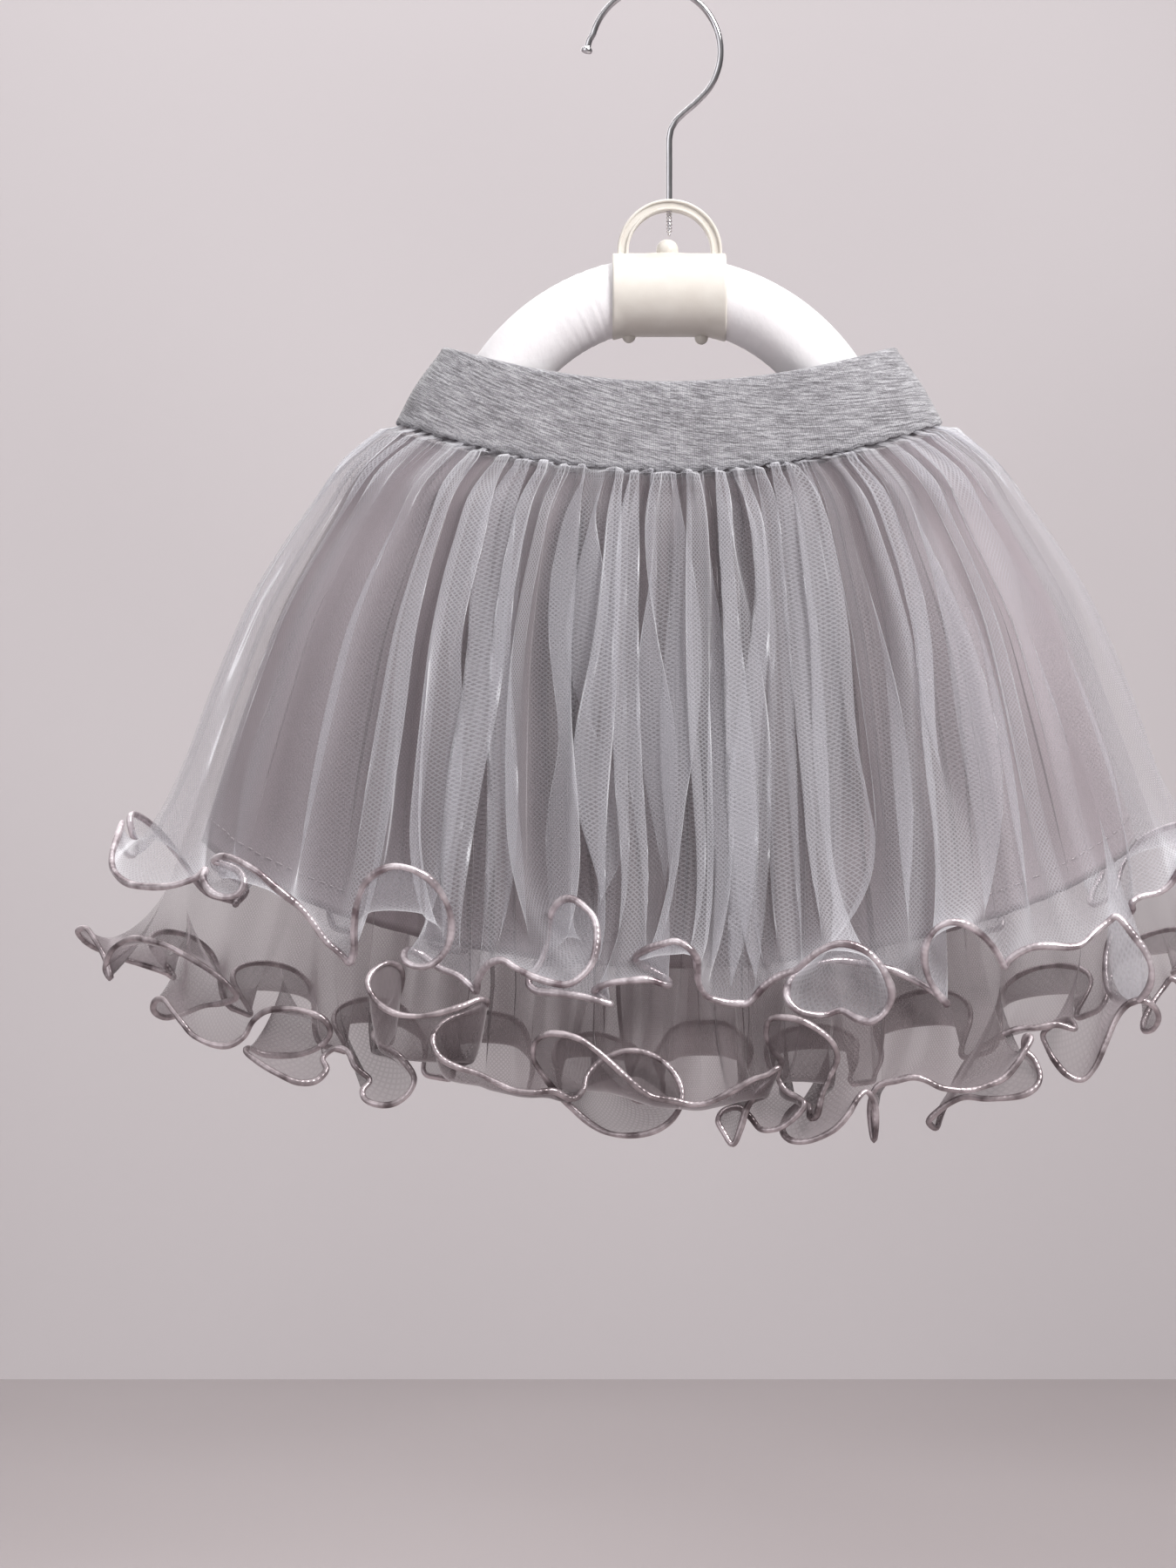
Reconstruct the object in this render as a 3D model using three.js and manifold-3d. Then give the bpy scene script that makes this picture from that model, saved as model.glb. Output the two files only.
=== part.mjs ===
// Tulle skirt on a small padded hanger. Millimetres, +Z up, the front faces -Y.
// The origin is the inside of the hook's crown, where a rail holds it.
import * as THREE from "three";
import { mergeVertices } from "three/addons/utils/BufferGeometryUtils.js";
import Module from "manifold-3d";

const wasm = await Module();
wasm.setup();

// Where the skirt and the hanger's stem stand across, from the hook's crown
const STEM_X = 5.3;

// Jersey waistband, a folded strip sewn into a ring
const BAND = {
  topHalfWidth: 90,
  bottomHalfWidth: 107.5,
  halfDepth: 21.5,
  squareness: 2.6,
  topZ: -141.1,
  bottomZ: -170.6,
  topSag: 15,
  bottomSag: 20.3,
  wall: 3,
  belly: 1.2,
};
const BAND_COLUMNS = 56;
const BAND_ROWS = 4;

// Walls of the net and of the lining, and the gap left at every seam
const CLOTH_WALL = 1.2;
const SEAM_GAP = 0.3;

// Lengths below the waistband, at the sides and at the middle
const OUTER_LENGTH = { side: 178, middle: 198.6 };
const UNDER_LENGTH = { side: 211, middle: 253 };
const LINING_LENGTH = { side: 158, middle: 160 };

// Rings of the skirt's mean surface. Drop is in lengths of the outer net.
const PROFILE = [
  { drop: 0, halfWidth: 106.6, halfDepth: 20.4, squareness: 2.6 },
  { drop: 0.022, halfWidth: 118, halfDepth: 25, squareness: 2.55 },
  { drop: 0.08, halfWidth: 127.5, halfDepth: 32, squareness: 2.5 },
  { drop: 0.174, halfWidth: 139.5, halfDepth: 40, squareness: 2.4 },
  { drop: 0.27, halfWidth: 151, halfDepth: 47.5, squareness: 2.35 },
  { drop: 0.38, halfWidth: 162.5, halfDepth: 55.5, squareness: 2.3 },
  { drop: 0.53, halfWidth: 174, halfDepth: 66, squareness: 2.2 },
  { drop: 0.66, halfWidth: 183, halfDepth: 74.5, squareness: 2.15 },
  { drop: 0.8, halfWidth: 192, halfDepth: 83.5, squareness: 2.1 },
  { drop: 1, halfWidth: 204, halfDepth: 94, squareness: 2.1 },
  { drop: 1.2, halfWidth: 213, halfDepth: 101, squareness: 2.1 },
  { drop: 1.35, halfWidth: 217, halfDepth: 105, squareness: 2.1 },
];

// How deep the gathers are, either side of the mean surface
const GATHER_DEPTH = [
  { drop: 0, depth: 0.5 },
  { drop: 0.06, depth: 1.3 },
  { drop: 0.2, depth: 2.2 },
  { drop: 0.45, depth: 3.2 },
  { drop: 0.75, depth: 3 },
  { drop: 1, depth: 2 },
  { drop: 1.35, depth: 1.8 },
];

// How far in the under net and the lining lie from the outer net
const INSET = [
  { drop: 0, under: 1.55, lining: 3.7 },
  { drop: 0.06, under: 2, lining: 5 },
  { drop: 0.2, under: 2.3, lining: 6.3 },
  { drop: 0.5, under: 2.8, lining: 7.9 },
  { drop: 0.75, under: 4, lining: 9.8 },
  { drop: 1, under: 7, lining: 12 },
  { drop: 1.35, under: 7, lining: 12 },
];

// Gathers round the skirt, and how the cloth spreads from the middle to the sides
const GATHERS = 40;
const COLUMNS_PER_GATHER = 4;
const SPREAD = 0.45;

// Curls of each hem. Along is round the hem from the front's middle, to the right, in millimetres
// of the ring at the outer hem. Out, lift, curl and lean are how far the edge moves away from the
// mean surface, up, sideways at both flanks and sideways as a whole.
const OUTER_CURLS = [
  { along: -258, half: 37, out: 11, lift: 27, curl: 3, lean: 0 },
  { along: -172, half: 36, out: 15, lift: 24, curl: 3.5, lean: -2 },
  { along: -99, half: 24, out: 19, lift: 32, curl: 3, lean: 2 },
  { along: -41, half: 20, out: 20, lift: 30, curl: 2.5, lean: 1 },
  { along: -2, half: 17, out: 16, lift: 23, curl: 2, lean: 0 },
  { along: 61, half: 25, out: 20, lift: 26, curl: 3.5, lean: 0 },
  { along: 108, half: 23, out: 18, lift: 26, curl: 3, lean: 1 },
  { along: 161, half: 28, out: 18, lift: 27, curl: 3.5, lean: -1 },
  { along: 220, half: 29, out: 17, lift: 24, curl: 3.5, lean: 0 },
  { along: 276, half: 27, out: 17, lift: 26, curl: 3.5, lean: 1 },
  { along: 328, half: 25, out: 18, lift: 22, curl: 3, lean: -1 },
  { along: 377, half: 24, out: 19, lift: 30, curl: 3, lean: 0 },
  { along: 424, half: 23, out: 18, lift: 24, curl: 3, lean: 1 },
  { along: 469, half: 22, out: 18, lift: 26, curl: 3, lean: -1 },
  { along: 512, half: 21, out: 17, lift: 22, curl: 2.5, lean: 1 },
  { along: 555, half: 22, out: 18, lift: 26, curl: 3, lean: 0 },
  { along: 600, half: 23, out: 18, lift: 25, curl: 3, lean: -1 },
  { along: 648, half: 26, out: 18, lift: 28, curl: 3.5, lean: 1 },
];
const UNDER_CURLS = [
  { along: -243, half: 27, out: 19, lift: 22, curl: 3, lean: 0 },
  { along: -189, half: 24, out: 18, lift: 25, curl: 3.5, lean: 1 },
  { along: -147, half: 17, out: 16, lift: 24, curl: 2.5, lean: -1 },
  { along: -113, half: 17, out: 16, lift: 28, curl: 2.5, lean: 0 },
  { along: -77, half: 18, out: 18, lift: 34, curl: 2.5, lean: 0 },
  { along: -43, half: 16, out: 16, lift: 32, curl: 2, lean: 0 },
  { along: -11, half: 16, out: 18, lift: 34, curl: 2, lean: 1 },
  { along: 17, half: 12, out: 7, lift: 10, curl: 0.5, lean: 0 },
  { along: 54, half: 24, out: 20, lift: 38, curl: 3, lean: -1 },
  { along: 95, half: 17, out: 17, lift: 26, curl: 2.5, lean: 0 },
  { along: 131, half: 19, out: 18, lift: 34, curl: 3, lean: 0 },
  { along: 187, half: 27, out: 19, lift: 27, curl: 3.5, lean: 1 },
  { along: 240, half: 24, out: 18, lift: 22, curl: 3, lean: 0 },
  { along: 289, half: 25, out: 18, lift: 24, curl: 3.5, lean: 0 },
  { along: 338, half: 24, out: 17, lift: 28, curl: 3, lean: -1 },
  { along: 385, half: 23, out: 18, lift: 32, curl: 3, lean: 1 },
  { along: 430, half: 22, out: 18, lift: 26, curl: 3, lean: 0 },
  { along: 473, half: 21, out: 17, lift: 32, curl: 2.5, lean: -1 },
  { along: 515, half: 21, out: 18, lift: 26, curl: 2, lean: 0 },
  { along: 557, half: 21, out: 17, lift: 30, curl: 2, lean: 0 },
  { along: 600, half: 22, out: 18, lift: 26, curl: 2, lean: 0 },
  { along: 643, half: 21, out: 18, lift: 27, curl: 2, lean: 0 },
  { along: 684, half: 20, out: 15, lift: 24, curl: 2.5, lean: 0 },
];

// Height of the strip that the curls bend, at the sides and at the middle
const OUTER_REACH = { side: 56, middle: 60 };
const UNDER_REACH = { side: 42, middle: 58 };

// Where each wall has a row: shares of the height above the outer net's curls, which both nets
// share so that one lies in the other, then shares of the curled strip's height
const UPPER_ROWS = [0, 0.04, 0.42];
const CURL_ROWS = [0, 0.45, 0.78, 1];
const LINING_ROWS = [0, 0.035, 0.35, 1];
const LINING_COLUMNS = 56;

// Rolled binding along both hems
const ROLL_RADIUS = 1.1;

// Hanger: the padded tube's arch, its clamp, the half ring and the wire hook
const ARCH = { x: 4.3, z: -196, radius: 76.8, tubeRadius: 14.2, halfAngle: 68 };
const TUBE_SIDES = 20;
const TUBE_STEPS = 16;
const CLAMP = {
  radius: 16.4,
  length: 44.6,
  z: -120.2,
  collar: 1.3,
  halfAngle: 17,
  collarReach: 6,
  boreReach: 10,
  sides: 28,
  steps: 8,
};
const CLAMP_NUBS = [
  { x: -10.5, z: -136.4, radius: 2.7 },
  { x: 18, z: -137, radius: 2.7 },
];
const CLAMP_BALL = { aside: -0.7, z: -102.6, radius: 4.4 };
const WIRE_HOLE = { length: 12, sides: 12, below: 2 };
const LOOP = {
  x: 5.5,
  z: -103.4,
  outer: 20.6,
  inner: 16.2,
  web: 5,
  rim: 7,
  rimWall: 1.1,
  foot: -105.6,
  steps: 18,
};
const WIRE_RADIUS = 1.3;
const WIRE_SIDES = 10;
const HOOK = { radius: 25.55, z: -24.25, startAngle: -40, endAngle: 165, steps: 20 };

// The wire below the hook's bowl. Thickness is a share of the wire's radius.
const STEM_POINTS = [
  { x: 15.4, z: -44.9, thickness: 1 },
  { x: 11.2, z: -48.4, thickness: 1 },
  { x: 8, z: -51.4, thickness: 1 },
  { x: 6, z: -54.9, thickness: 1 },
  { x: STEM_X, z: -59, thickness: 1 },
  { x: STEM_X, z: -92, thickness: 1 },
  { x: STEM_X, z: -95.4, thickness: 0.8 },
  { x: STEM_X, z: -97.4, thickness: 0.3 },
];
// The wire's free end on the left, with its small rounded button
const TIP_POINTS = [
  { x: -26, z: -19.6, thickness: 1 },
  { x: -26.7, z: -22.2, thickness: 1 },
  { x: -26.8, z: -22.5, thickness: 1.55 },
  { x: -27.1, z: -23.6, thickness: 1.65 },
  { x: -27.3, z: -24.4, thickness: 1.1 },
];

const MERGE_DISTANCE = 1e-4;
const SECTION_STEPS = 360;
const LATTICE_LEVELS = 54;
const LOWEST_DROP = 1.35;

// A smooth value between the rows of a table
function smoothValue(table, key, column, at) {
  const last = table.length - 1;
  if (at <= table[0][key]) return table[0][column];
  if (at >= table[last][key]) return table[last][column];
  let i = 0;
  while (table[i + 1][key] < at) i += 1;
  const slope = (k) => {
    const before = table[Math.max(k - 1, 0)];
    const after = table[Math.min(k + 1, last)];
    return (after[column] - before[column]) / (after[key] - before[key]);
  };
  const span = table[i + 1][key] - table[i][key];
  const t = (at - table[i][key]) / span;
  const rise = table[i + 1][column] - table[i][column];
  const a = slope(i) * span - rise;
  const b = rise - slope(i + 1) * span;
  return table[i][column] + t * rise + t * (1 - t) * ((1 - t) * a + t * b);
}

// A closed section as points at even lengths round it, from the front's middle to the right
function evenSection(halfWidth, halfDepth, squareness) {
  const dense = [];
  const power = 2 / squareness;
  for (let i = 0; i <= SECTION_STEPS * 4; i += 1) {
    const angle = (2 * Math.PI * i) / (SECTION_STEPS * 4);
    const across = Math.sin(angle);
    const deep = Math.cos(angle);
    dense.push({
      x: halfWidth * Math.sign(across) * Math.abs(across) ** power,
      y: -halfDepth * Math.sign(deep) * Math.abs(deep) ** power,
    });
  }
  const lengths = [0];
  for (let i = 1; i < dense.length; i += 1) {
    const step = Math.hypot(dense[i].x - dense[i - 1].x, dense[i].y - dense[i - 1].y);
    lengths.push(lengths[i - 1] + step);
  }
  const total = lengths[lengths.length - 1];
  const points = [];
  let k = 0;
  for (let i = 0; i <= SECTION_STEPS; i += 1) {
    const wanted = (total * i) / SECTION_STEPS;
    while (k < lengths.length - 2 && lengths[k + 1] < wanted) k += 1;
    const t = (wanted - lengths[k]) / (lengths[k + 1] - lengths[k]);
    points.push({
      x: dense[k].x + t * (dense[k + 1].x - dense[k].x),
      y: dense[k].y + t * (dense[k + 1].y - dense[k].y),
    });
  }
  return { points, total };
}

// A point at a share of the way round an even section
function roundSection(section, share) {
  const at = (share - Math.floor(share)) * SECTION_STEPS;
  const i = Math.min(Math.floor(at), SECTION_STEPS - 1);
  const t = at - i;
  const a = section.points[i];
  const b = section.points[i + 1];
  return { x: a.x + t * (b.x - a.x), y: a.y + t * (b.y - a.y) };
}

// The skirt's sections at many heights, and a point between two of them
const lattice = [];
for (let i = 0; i <= LATTICE_LEVELS; i += 1) {
  const drop = LOWEST_DROP * (i / LATTICE_LEVELS) ** 1.6;
  const value = (column) => smoothValue(PROFILE, "drop", column, drop);
  const section = evenSection(value("halfWidth"), value("halfDepth"), value("squareness"));
  lattice.push({ drop, section });
}
const hemRing = evenSection(204, 94, 2.1);

function skirtSection(share, drop) {
  const level = LATTICE_LEVELS * (Math.min(Math.max(drop, 0), LOWEST_DROP) / LOWEST_DROP) ** (1 / 1.6);
  const i = Math.min(Math.floor(level), LATTICE_LEVELS - 1);
  const low = lattice[i];
  const high = lattice[i + 1];
  const t = (drop - low.drop) / (high.drop - low.drop);
  const a = roundSection(low.section, share);
  const b = roundSection(high.section, share);
  return { x: a.x + t * (b.x - a.x), y: a.y + t * (b.y - a.y) };
}

// Where a strip of cloth lies round the ring: uneven gathers, spread to the sides lower down
function clothShare(cloth) {
  const turn = 2 * Math.PI * cloth;
  return cloth + 0.0035 * Math.sin(3 * turn + 0.7) + 0.0022 * Math.sin(7 * turn + 2.1);
}

function ringShare(cloth, drop) {
  const share = clothShare(cloth);
  const spread = SPREAD * Math.min(Math.max(drop, 0), 1) ** 0.8;
  return share - (spread * Math.sin(4 * Math.PI * share)) / (4 * Math.PI);
}

// The lengths and heights that belong to one strip of cloth
function stripOf(cloth) {
  const waist = skirtSection(ringShare(cloth, 0), 0);
  const hem = roundSection(hemRing, ringShare(cloth, 1));
  const waistMiddle = 1 - Math.min(1, Math.abs(waist.x) / BAND.bottomHalfWidth) ** 2;
  const hemMiddle = 1 - Math.min(1, Math.abs(hem.x) / 204) ** 2.6;
  const between = (size) => size.side + (size.middle - size.side) * hemMiddle;
  return {
    cloth,
    seamZ: BAND.bottomZ - BAND.bottomSag * waistMiddle,
    outer: between(OUTER_LENGTH),
    under: between(UNDER_LENGTH),
    lining: between(LINING_LENGTH),
    outerReach: between(OUTER_REACH),
    underReach: between(UNDER_REACH),
  };
}

// The mean surface, a way round it and a way below the seam
function meanPoint(strip, turned, below) {
  const drop = below / strip.outer;
  const flat = skirtSection(ringShare(strip.cloth, drop) + turned, drop);
  return new THREE.Vector3(STEM_X + flat.x, flat.y, strip.seamZ - SEAM_GAP - 0.58 - below);
}

// The mean surface's point with the ways out, round and down there
function meanFrame(strip, below) {
  const from = Math.max(below, 0.5);
  const point = meanPoint(strip, 0, below);
  const round = meanPoint(strip, 0.002, from).sub(meanPoint(strip, -0.002, from)).normalize();
  const down = meanPoint(strip, 0, from + 0.5).sub(meanPoint(strip, 0, from - 0.5)).normalize();
  const out = new THREE.Vector3().crossVectors(down, round).normalize();
  if (out.x * (point.x - STEM_X) + out.y * point.y < 0) out.negate();
  const level = new THREE.Vector3(out.x, out.y, 0).normalize();
  return { point, round, out, level };
}

function gatherDepth(cloth, drop) {
  const turn = 2 * Math.PI * cloth;
  const depth = smoothValue(GATHER_DEPTH, "drop", "depth", drop);
  return depth * (0.8 + 0.2 * Math.sin(5 * turn + 0.4)) * Math.cos(GATHERS * turn);
}

// How far the curls of a hem move the cloth at a share of the curled strip's height
function curlShift(curls, strip, share) {
  const along = hemRing.total * ringShare(strip.cloth, 1);
  const shift = { out: 0, lift: 0, round: 0 };
  if (share <= 0) return shift;
  for (const row of curls) {
    let apart = along - row.along;
    apart -= hemRing.total * Math.round(apart / hemRing.total);
    const v = apart / row.half;
    if (Math.abs(v) >= 1) continue;
    const hump = Math.cos((Math.PI * v) / 2) ** 2;
    shift.out += row.out * hump * share ** 2;
    shift.lift += row.lift * hump * share ** 3;
    shift.round += (row.curl * Math.sin(Math.PI * v) + row.lean * hump) * share ** 2;
  }
  return shift;
}

// A point on one layer of the skirt
function layerPoint(layer, strip, below) {
  const drop = below / strip.outer;
  const frame = meanFrame(strip, below);
  const point = frame.point.clone();
  const inset = layer.inset ? smoothValue(INSET, "drop", layer.inset, drop) : 0;
  point.addScaledVector(frame.out, -inset);
  if (layer.gathered) point.addScaledVector(frame.level, gatherDepth(strip.cloth, drop));
  if (layer.curls) {
    const length = strip[layer.length];
    const reach = strip[layer.reach];
    const shift = curlShift(layer.curls, strip, (below - length + reach) / reach);
    point.addScaledVector(frame.level, shift.out);
    point.addScaledVector(frame.round, shift.round);
    point.z += shift.lift;
  }
  return point;
}

const OUTER_LAYER = { length: "outer", reach: "outerReach", curls: OUTER_CURLS, gathered: true };
const UNDER_LAYER = {
  length: "under",
  reach: "underReach",
  curls: UNDER_CURLS,
  gathered: true,
  inset: "under",
};
const LINING_LAYER = { length: "lining", inset: "lining" };

// The heights below the seam of a strip's rows
function rowHeights(layer, strip) {
  const length = strip[layer.length];
  if (!layer.curls) return LINING_ROWS.map((share) => share * length);
  const reach = strip[layer.reach];
  const outerTop = strip.outer - strip.outerReach;
  const upper = UPPER_ROWS.map((share) => share * outerTop);
  if (layer.curls === UNDER_CURLS) upper.push(outerTop);
  return upper.concat(CURL_ROWS.map((share) => length - reach + share * reach));
}

function layerGrid(layer, columns) {
  const grid = [];
  for (let i = 0; i < columns; i += 1) {
    const strip = stripOf(i / columns);
    grid.push(rowHeights(layer, strip).map((below) => layerPoint(layer, strip, below)));
  }
  return grid;
}

function geometryOf(points, faces) {
  const geometry = new THREE.BufferGeometry();
  const values = points.flatMap((p) => [p.x, p.y, p.z]);
  geometry.setAttribute("position", new THREE.Float32BufferAttribute(values, 3));
  geometry.setIndex(faces);
  geometry.computeVertexNormals();
  return geometry;
}

// The way out of a grid that runs round in columns and down in rows
function gridNormal(grid, i, j) {
  const columns = grid.length;
  const rows = grid[0].length;
  const right = grid[(i + 1) % columns][j];
  const left = grid[(i + columns - 1) % columns][j];
  const below = grid[i][Math.min(j + 1, rows - 1)];
  const above = grid[i][Math.max(j - 1, 0)];
  const round = new THREE.Vector3().subVectors(right, left);
  const down = new THREE.Vector3().subVectors(below, above);
  return new THREE.Vector3().crossVectors(down, round).normalize();
}

// A closed wall round a grid's middle surface
function wallOf(grid, wall) {
  const columns = grid.length;
  const rows = grid[0].length;
  const points = [];
  for (let side = 0; side < 2; side += 1) {
    const away = side === 0 ? wall / 2 : -wall / 2;
    for (let i = 0; i < columns; i += 1) {
      for (let j = 0; j < rows; j += 1) {
        points.push(grid[i][j].clone().addScaledVector(gridNormal(grid, i, j), away));
      }
    }
  }
  const at = (side, i, j) => (side * columns + (i % columns)) * rows + j;
  const faces = [];
  const quad = (a, b, c, d) => faces.push(a, b, c, a, c, d);
  for (let i = 0; i < columns; i += 1) {
    for (let j = 0; j < rows - 1; j += 1) {
      quad(at(0, i, j), at(0, i, j + 1), at(0, i + 1, j + 1), at(0, i + 1, j));
      quad(at(1, i, j), at(1, i + 1, j), at(1, i + 1, j + 1), at(1, i, j + 1));
    }
    const end = rows - 1;
    quad(at(0, i, 0), at(0, i + 1, 0), at(1, i + 1, 0), at(1, i, 0));
    quad(at(0, i, end), at(1, i, end), at(1, i + 1, end), at(0, i + 1, end));
  }
  return geometryOf(points, faces);
}

// The rolled binding past a layer's lower edge, a closed ring of three-cornered section
function rollOf(grid) {
  const columns = grid.length;
  const end = grid[0].length - 1;
  const corners = 3;
  const points = [];
  for (let i = 0; i < columns; i += 1) {
    const edge = grid[i][end];
    const out = gridNormal(grid, i, end);
    const before = new THREE.Vector3().subVectors(edge, grid[(i + columns - 1) % columns][end]);
    const after = new THREE.Vector3().subVectors(grid[(i + 1) % columns][end], edge);
    const along = before.clone().normalize().add(after.clone().normalize()).normalize();
    const down = new THREE.Vector3().crossVectors(along, out).normalize();
    const bend = Math.max(0.5, along.dot(after.normalize()));
    const middle = edge.clone().addScaledVector(down, (SEAM_GAP + ROLL_RADIUS / 2) / bend);
    for (let k = 0; k < corners; k += 1) {
      const angle = (2 * Math.PI * k) / corners;
      const point = middle.clone().addScaledVector(down, ROLL_RADIUS * Math.cos(angle));
      points.push(point.addScaledVector(out, ROLL_RADIUS * Math.sin(angle)));
    }
  }
  const faces = [];
  for (let i = 0; i < columns; i += 1) {
    for (let k = 0; k < corners; k += 1) {
      const a = i * corners + k;
      const b = i * corners + ((k + 1) % corners);
      const c = ((i + 1) % columns) * corners + ((k + 1) % corners);
      const d = ((i + 1) % columns) * corners + k;
      faces.push(a, d, c, a, c, b);
    }
  }
  return geometryOf(points, faces);
}

// The waistband's middle surface, wider and lower towards the skirt
function bandGrid() {
  const grid = [];
  for (let i = 0; i < BAND_COLUMNS; i += 1) {
    const column = [];
    for (let j = 0; j < BAND_ROWS; j += 1) {
      const down = j / (BAND_ROWS - 1);
      const half = BAND.wall / 2;
      const belly = BAND.belly * Math.sin(Math.PI * down);
      const topWidth = BAND.topHalfWidth - half;
      const width = topWidth + (BAND.bottomHalfWidth - BAND.topHalfWidth) * down + belly;
      const section = evenSection(width, BAND.halfDepth - half + belly * 0.4, BAND.squareness);
      const flat = roundSection(section, i / BAND_COLUMNS);
      const middle = 1 - (flat.x / width) ** 2;
      const top = BAND.topZ - BAND.topSag * middle;
      const bottom = BAND.bottomZ - BAND.bottomSag * middle;
      column.push(new THREE.Vector3(STEM_X + flat.x, flat.y, top + (bottom - top) * down));
    }
    grid.push(column);
  }
  return grid;
}

// The waistband's wall, with level rims so that the net hangs evenly from it
function bandGeometry() {
  const grid = bandGrid();
  const points = [];
  for (const away of [BAND.wall / 2, -BAND.wall / 2]) {
    for (let i = 0; i < BAND_COLUMNS; i += 1) {
      for (let j = 0; j < BAND_ROWS; j += 1) {
        const out = gridNormal(grid, i, j).setZ(0).normalize();
        points.push(grid[i][j].clone().addScaledVector(out, away));
      }
    }
  }
  const shell = wallOf(grid, BAND.wall);
  return geometryOf(points, Array.from(shell.index.array));
}

// A round rod along points in the X-Z plane, closed at both ends
function rodOf(path, sides) {
  const points = [];
  path.forEach((node, i) => {
    const next = path[Math.min(i + 1, path.length - 1)];
    const before = path[Math.max(i - 1, 0)];
    const along = new THREE.Vector3(next.x - before.x, 0, next.z - before.z).normalize();
    const across = new THREE.Vector3(along.z, 0, -along.x);
    for (let k = 0; k < sides; k += 1) {
      const angle = (2 * Math.PI * k) / sides;
      const aside = node.radius * Math.cos(angle);
      const deep = node.radius * Math.sin(angle);
      points.push(new THREE.Vector3(node.x + across.x * aside, deep, node.z + across.z * aside));
    }
  });
  const faces = [];
  for (let i = 0; i < path.length - 1; i += 1) {
    for (let k = 0; k < sides; k += 1) {
      const a = i * sides + k;
      const b = i * sides + ((k + 1) % sides);
      faces.push(a, b, b + sides, a, b + sides, a + sides);
    }
  }
  const last = (path.length - 1) * sides;
  for (let k = 1; k < sides - 1; k += 1) {
    faces.push(0, k + 1, k);
    faces.push(last, last + k, last + k + 1);
  }
  return geometryOf(points, faces);
}

function archPath(radius, halfAngle, steps) {
  const path = [];
  for (let i = 0; i <= steps; i += 1) {
    const angle = THREE.MathUtils.degToRad(halfAngle * ((2 * i) / steps - 1));
    const x = ARCH.x + ARCH.radius * Math.sin(angle);
    path.push({ x, z: ARCH.z + ARCH.radius * Math.cos(angle), radius });
  }
  return path;
}

// The wire from its button on the left, over the crown and down to the screwed end
function hookPath() {
  const path = [...TIP_POINTS].reverse().map((row) => ({ ...row }));
  for (let i = 0; i <= HOOK.steps; i += 1) {
    const share = i / HOOK.steps;
    const degrees = HOOK.endAngle + (HOOK.startAngle - HOOK.endAngle) * share;
    const angle = THREE.MathUtils.degToRad(degrees);
    const x = HOOK.radius * Math.cos(angle);
    path.push({ x, z: HOOK.z + HOOK.radius * Math.sin(angle), thickness: 1 });
  }
  path.push(...STEM_POINTS);
  return path.map((row) => ({ x: row.x, z: row.z, radius: WIRE_RADIUS * row.thickness }));
}

// A closed geometry as a solid that can be joined and cut
function solidOf(geometry) {
  const bare = geometry.clone();
  bare.deleteAttribute("normal");
  bare.deleteAttribute("uv");
  const merged = mergeVertices(bare, MERGE_DISTANCE);
  const triVerts = new Uint32Array(merged.index.array);
  const vertProperties = new Float32Array(merged.getAttribute("position").array);
  return new wasm.Manifold(new wasm.Mesh({ numProp: 3, vertProperties, triVerts }));
}

function geometryOfSolid(solid) {
  const mesh = solid.getMesh();
  const points = [];
  for (let i = 0; i < mesh.numVert; i += 1) {
    const at = i * mesh.numProp;
    const [x, y, z] = mesh.vertProperties.subarray(at, at + 3);
    points.push(new THREE.Vector3(x, y, z));
  }
  return geometryOf(points, Array.from(mesh.triVerts));
}

function ballAt(x, z, radius) {
  return solidOf(new THREE.SphereGeometry(radius, 12, 8).rotateX(Math.PI / 2).translate(x, 0, z));
}

// The half ring's outline in the X-Z plane, pushed out to a depth in Y
function halfRing(outer, inner, depth) {
  const fromFoot = (radius) => Math.asin((LOOP.foot - LOOP.z) / radius);
  const outline = new THREE.Shape();
  outline.absarc(0, 0, outer, fromFoot(outer), Math.PI - fromFoot(outer), false);
  outline.absarc(0, 0, inner, Math.PI - fromFoot(inner), fromFoot(inner), true);
  outline.closePath();
  const ring = new THREE.ExtrudeGeometry(outline, {
    depth,
    bevelEnabled: false,
    curveSegments: LOOP.steps,
  });
  ring.translate(0, 0, -depth / 2).rotateX(Math.PI / 2);
  return solidOf(ring.translate(LOOP.x, 0, LOOP.z));
}

// The clamp's sleeve, with a collar where it is cut off across the curved tube
function sleeveSolid(bore) {
  const sleeve = new THREE.CylinderGeometry(CLAMP.radius, CLAMP.radius, CLAMP.length, CLAMP.sides);
  sleeve.rotateZ(Math.PI / 2).translate(STEM_X, 0, CLAMP.z);
  const block = new THREE.BoxGeometry(CLAMP.length, 4 * CLAMP.radius, 4 * CLAMP.radius);
  block.translate(STEM_X, 0, CLAMP.z);
  const path = archPath(bore + CLAMP.collar, CLAMP.halfAngle + CLAMP.collarReach, CLAMP.steps);
  const collar = solidOf(rodOf(path, TUBE_SIDES)).intersect(solidOf(block));
  return solidOf(sleeve).add(collar);
}

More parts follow.
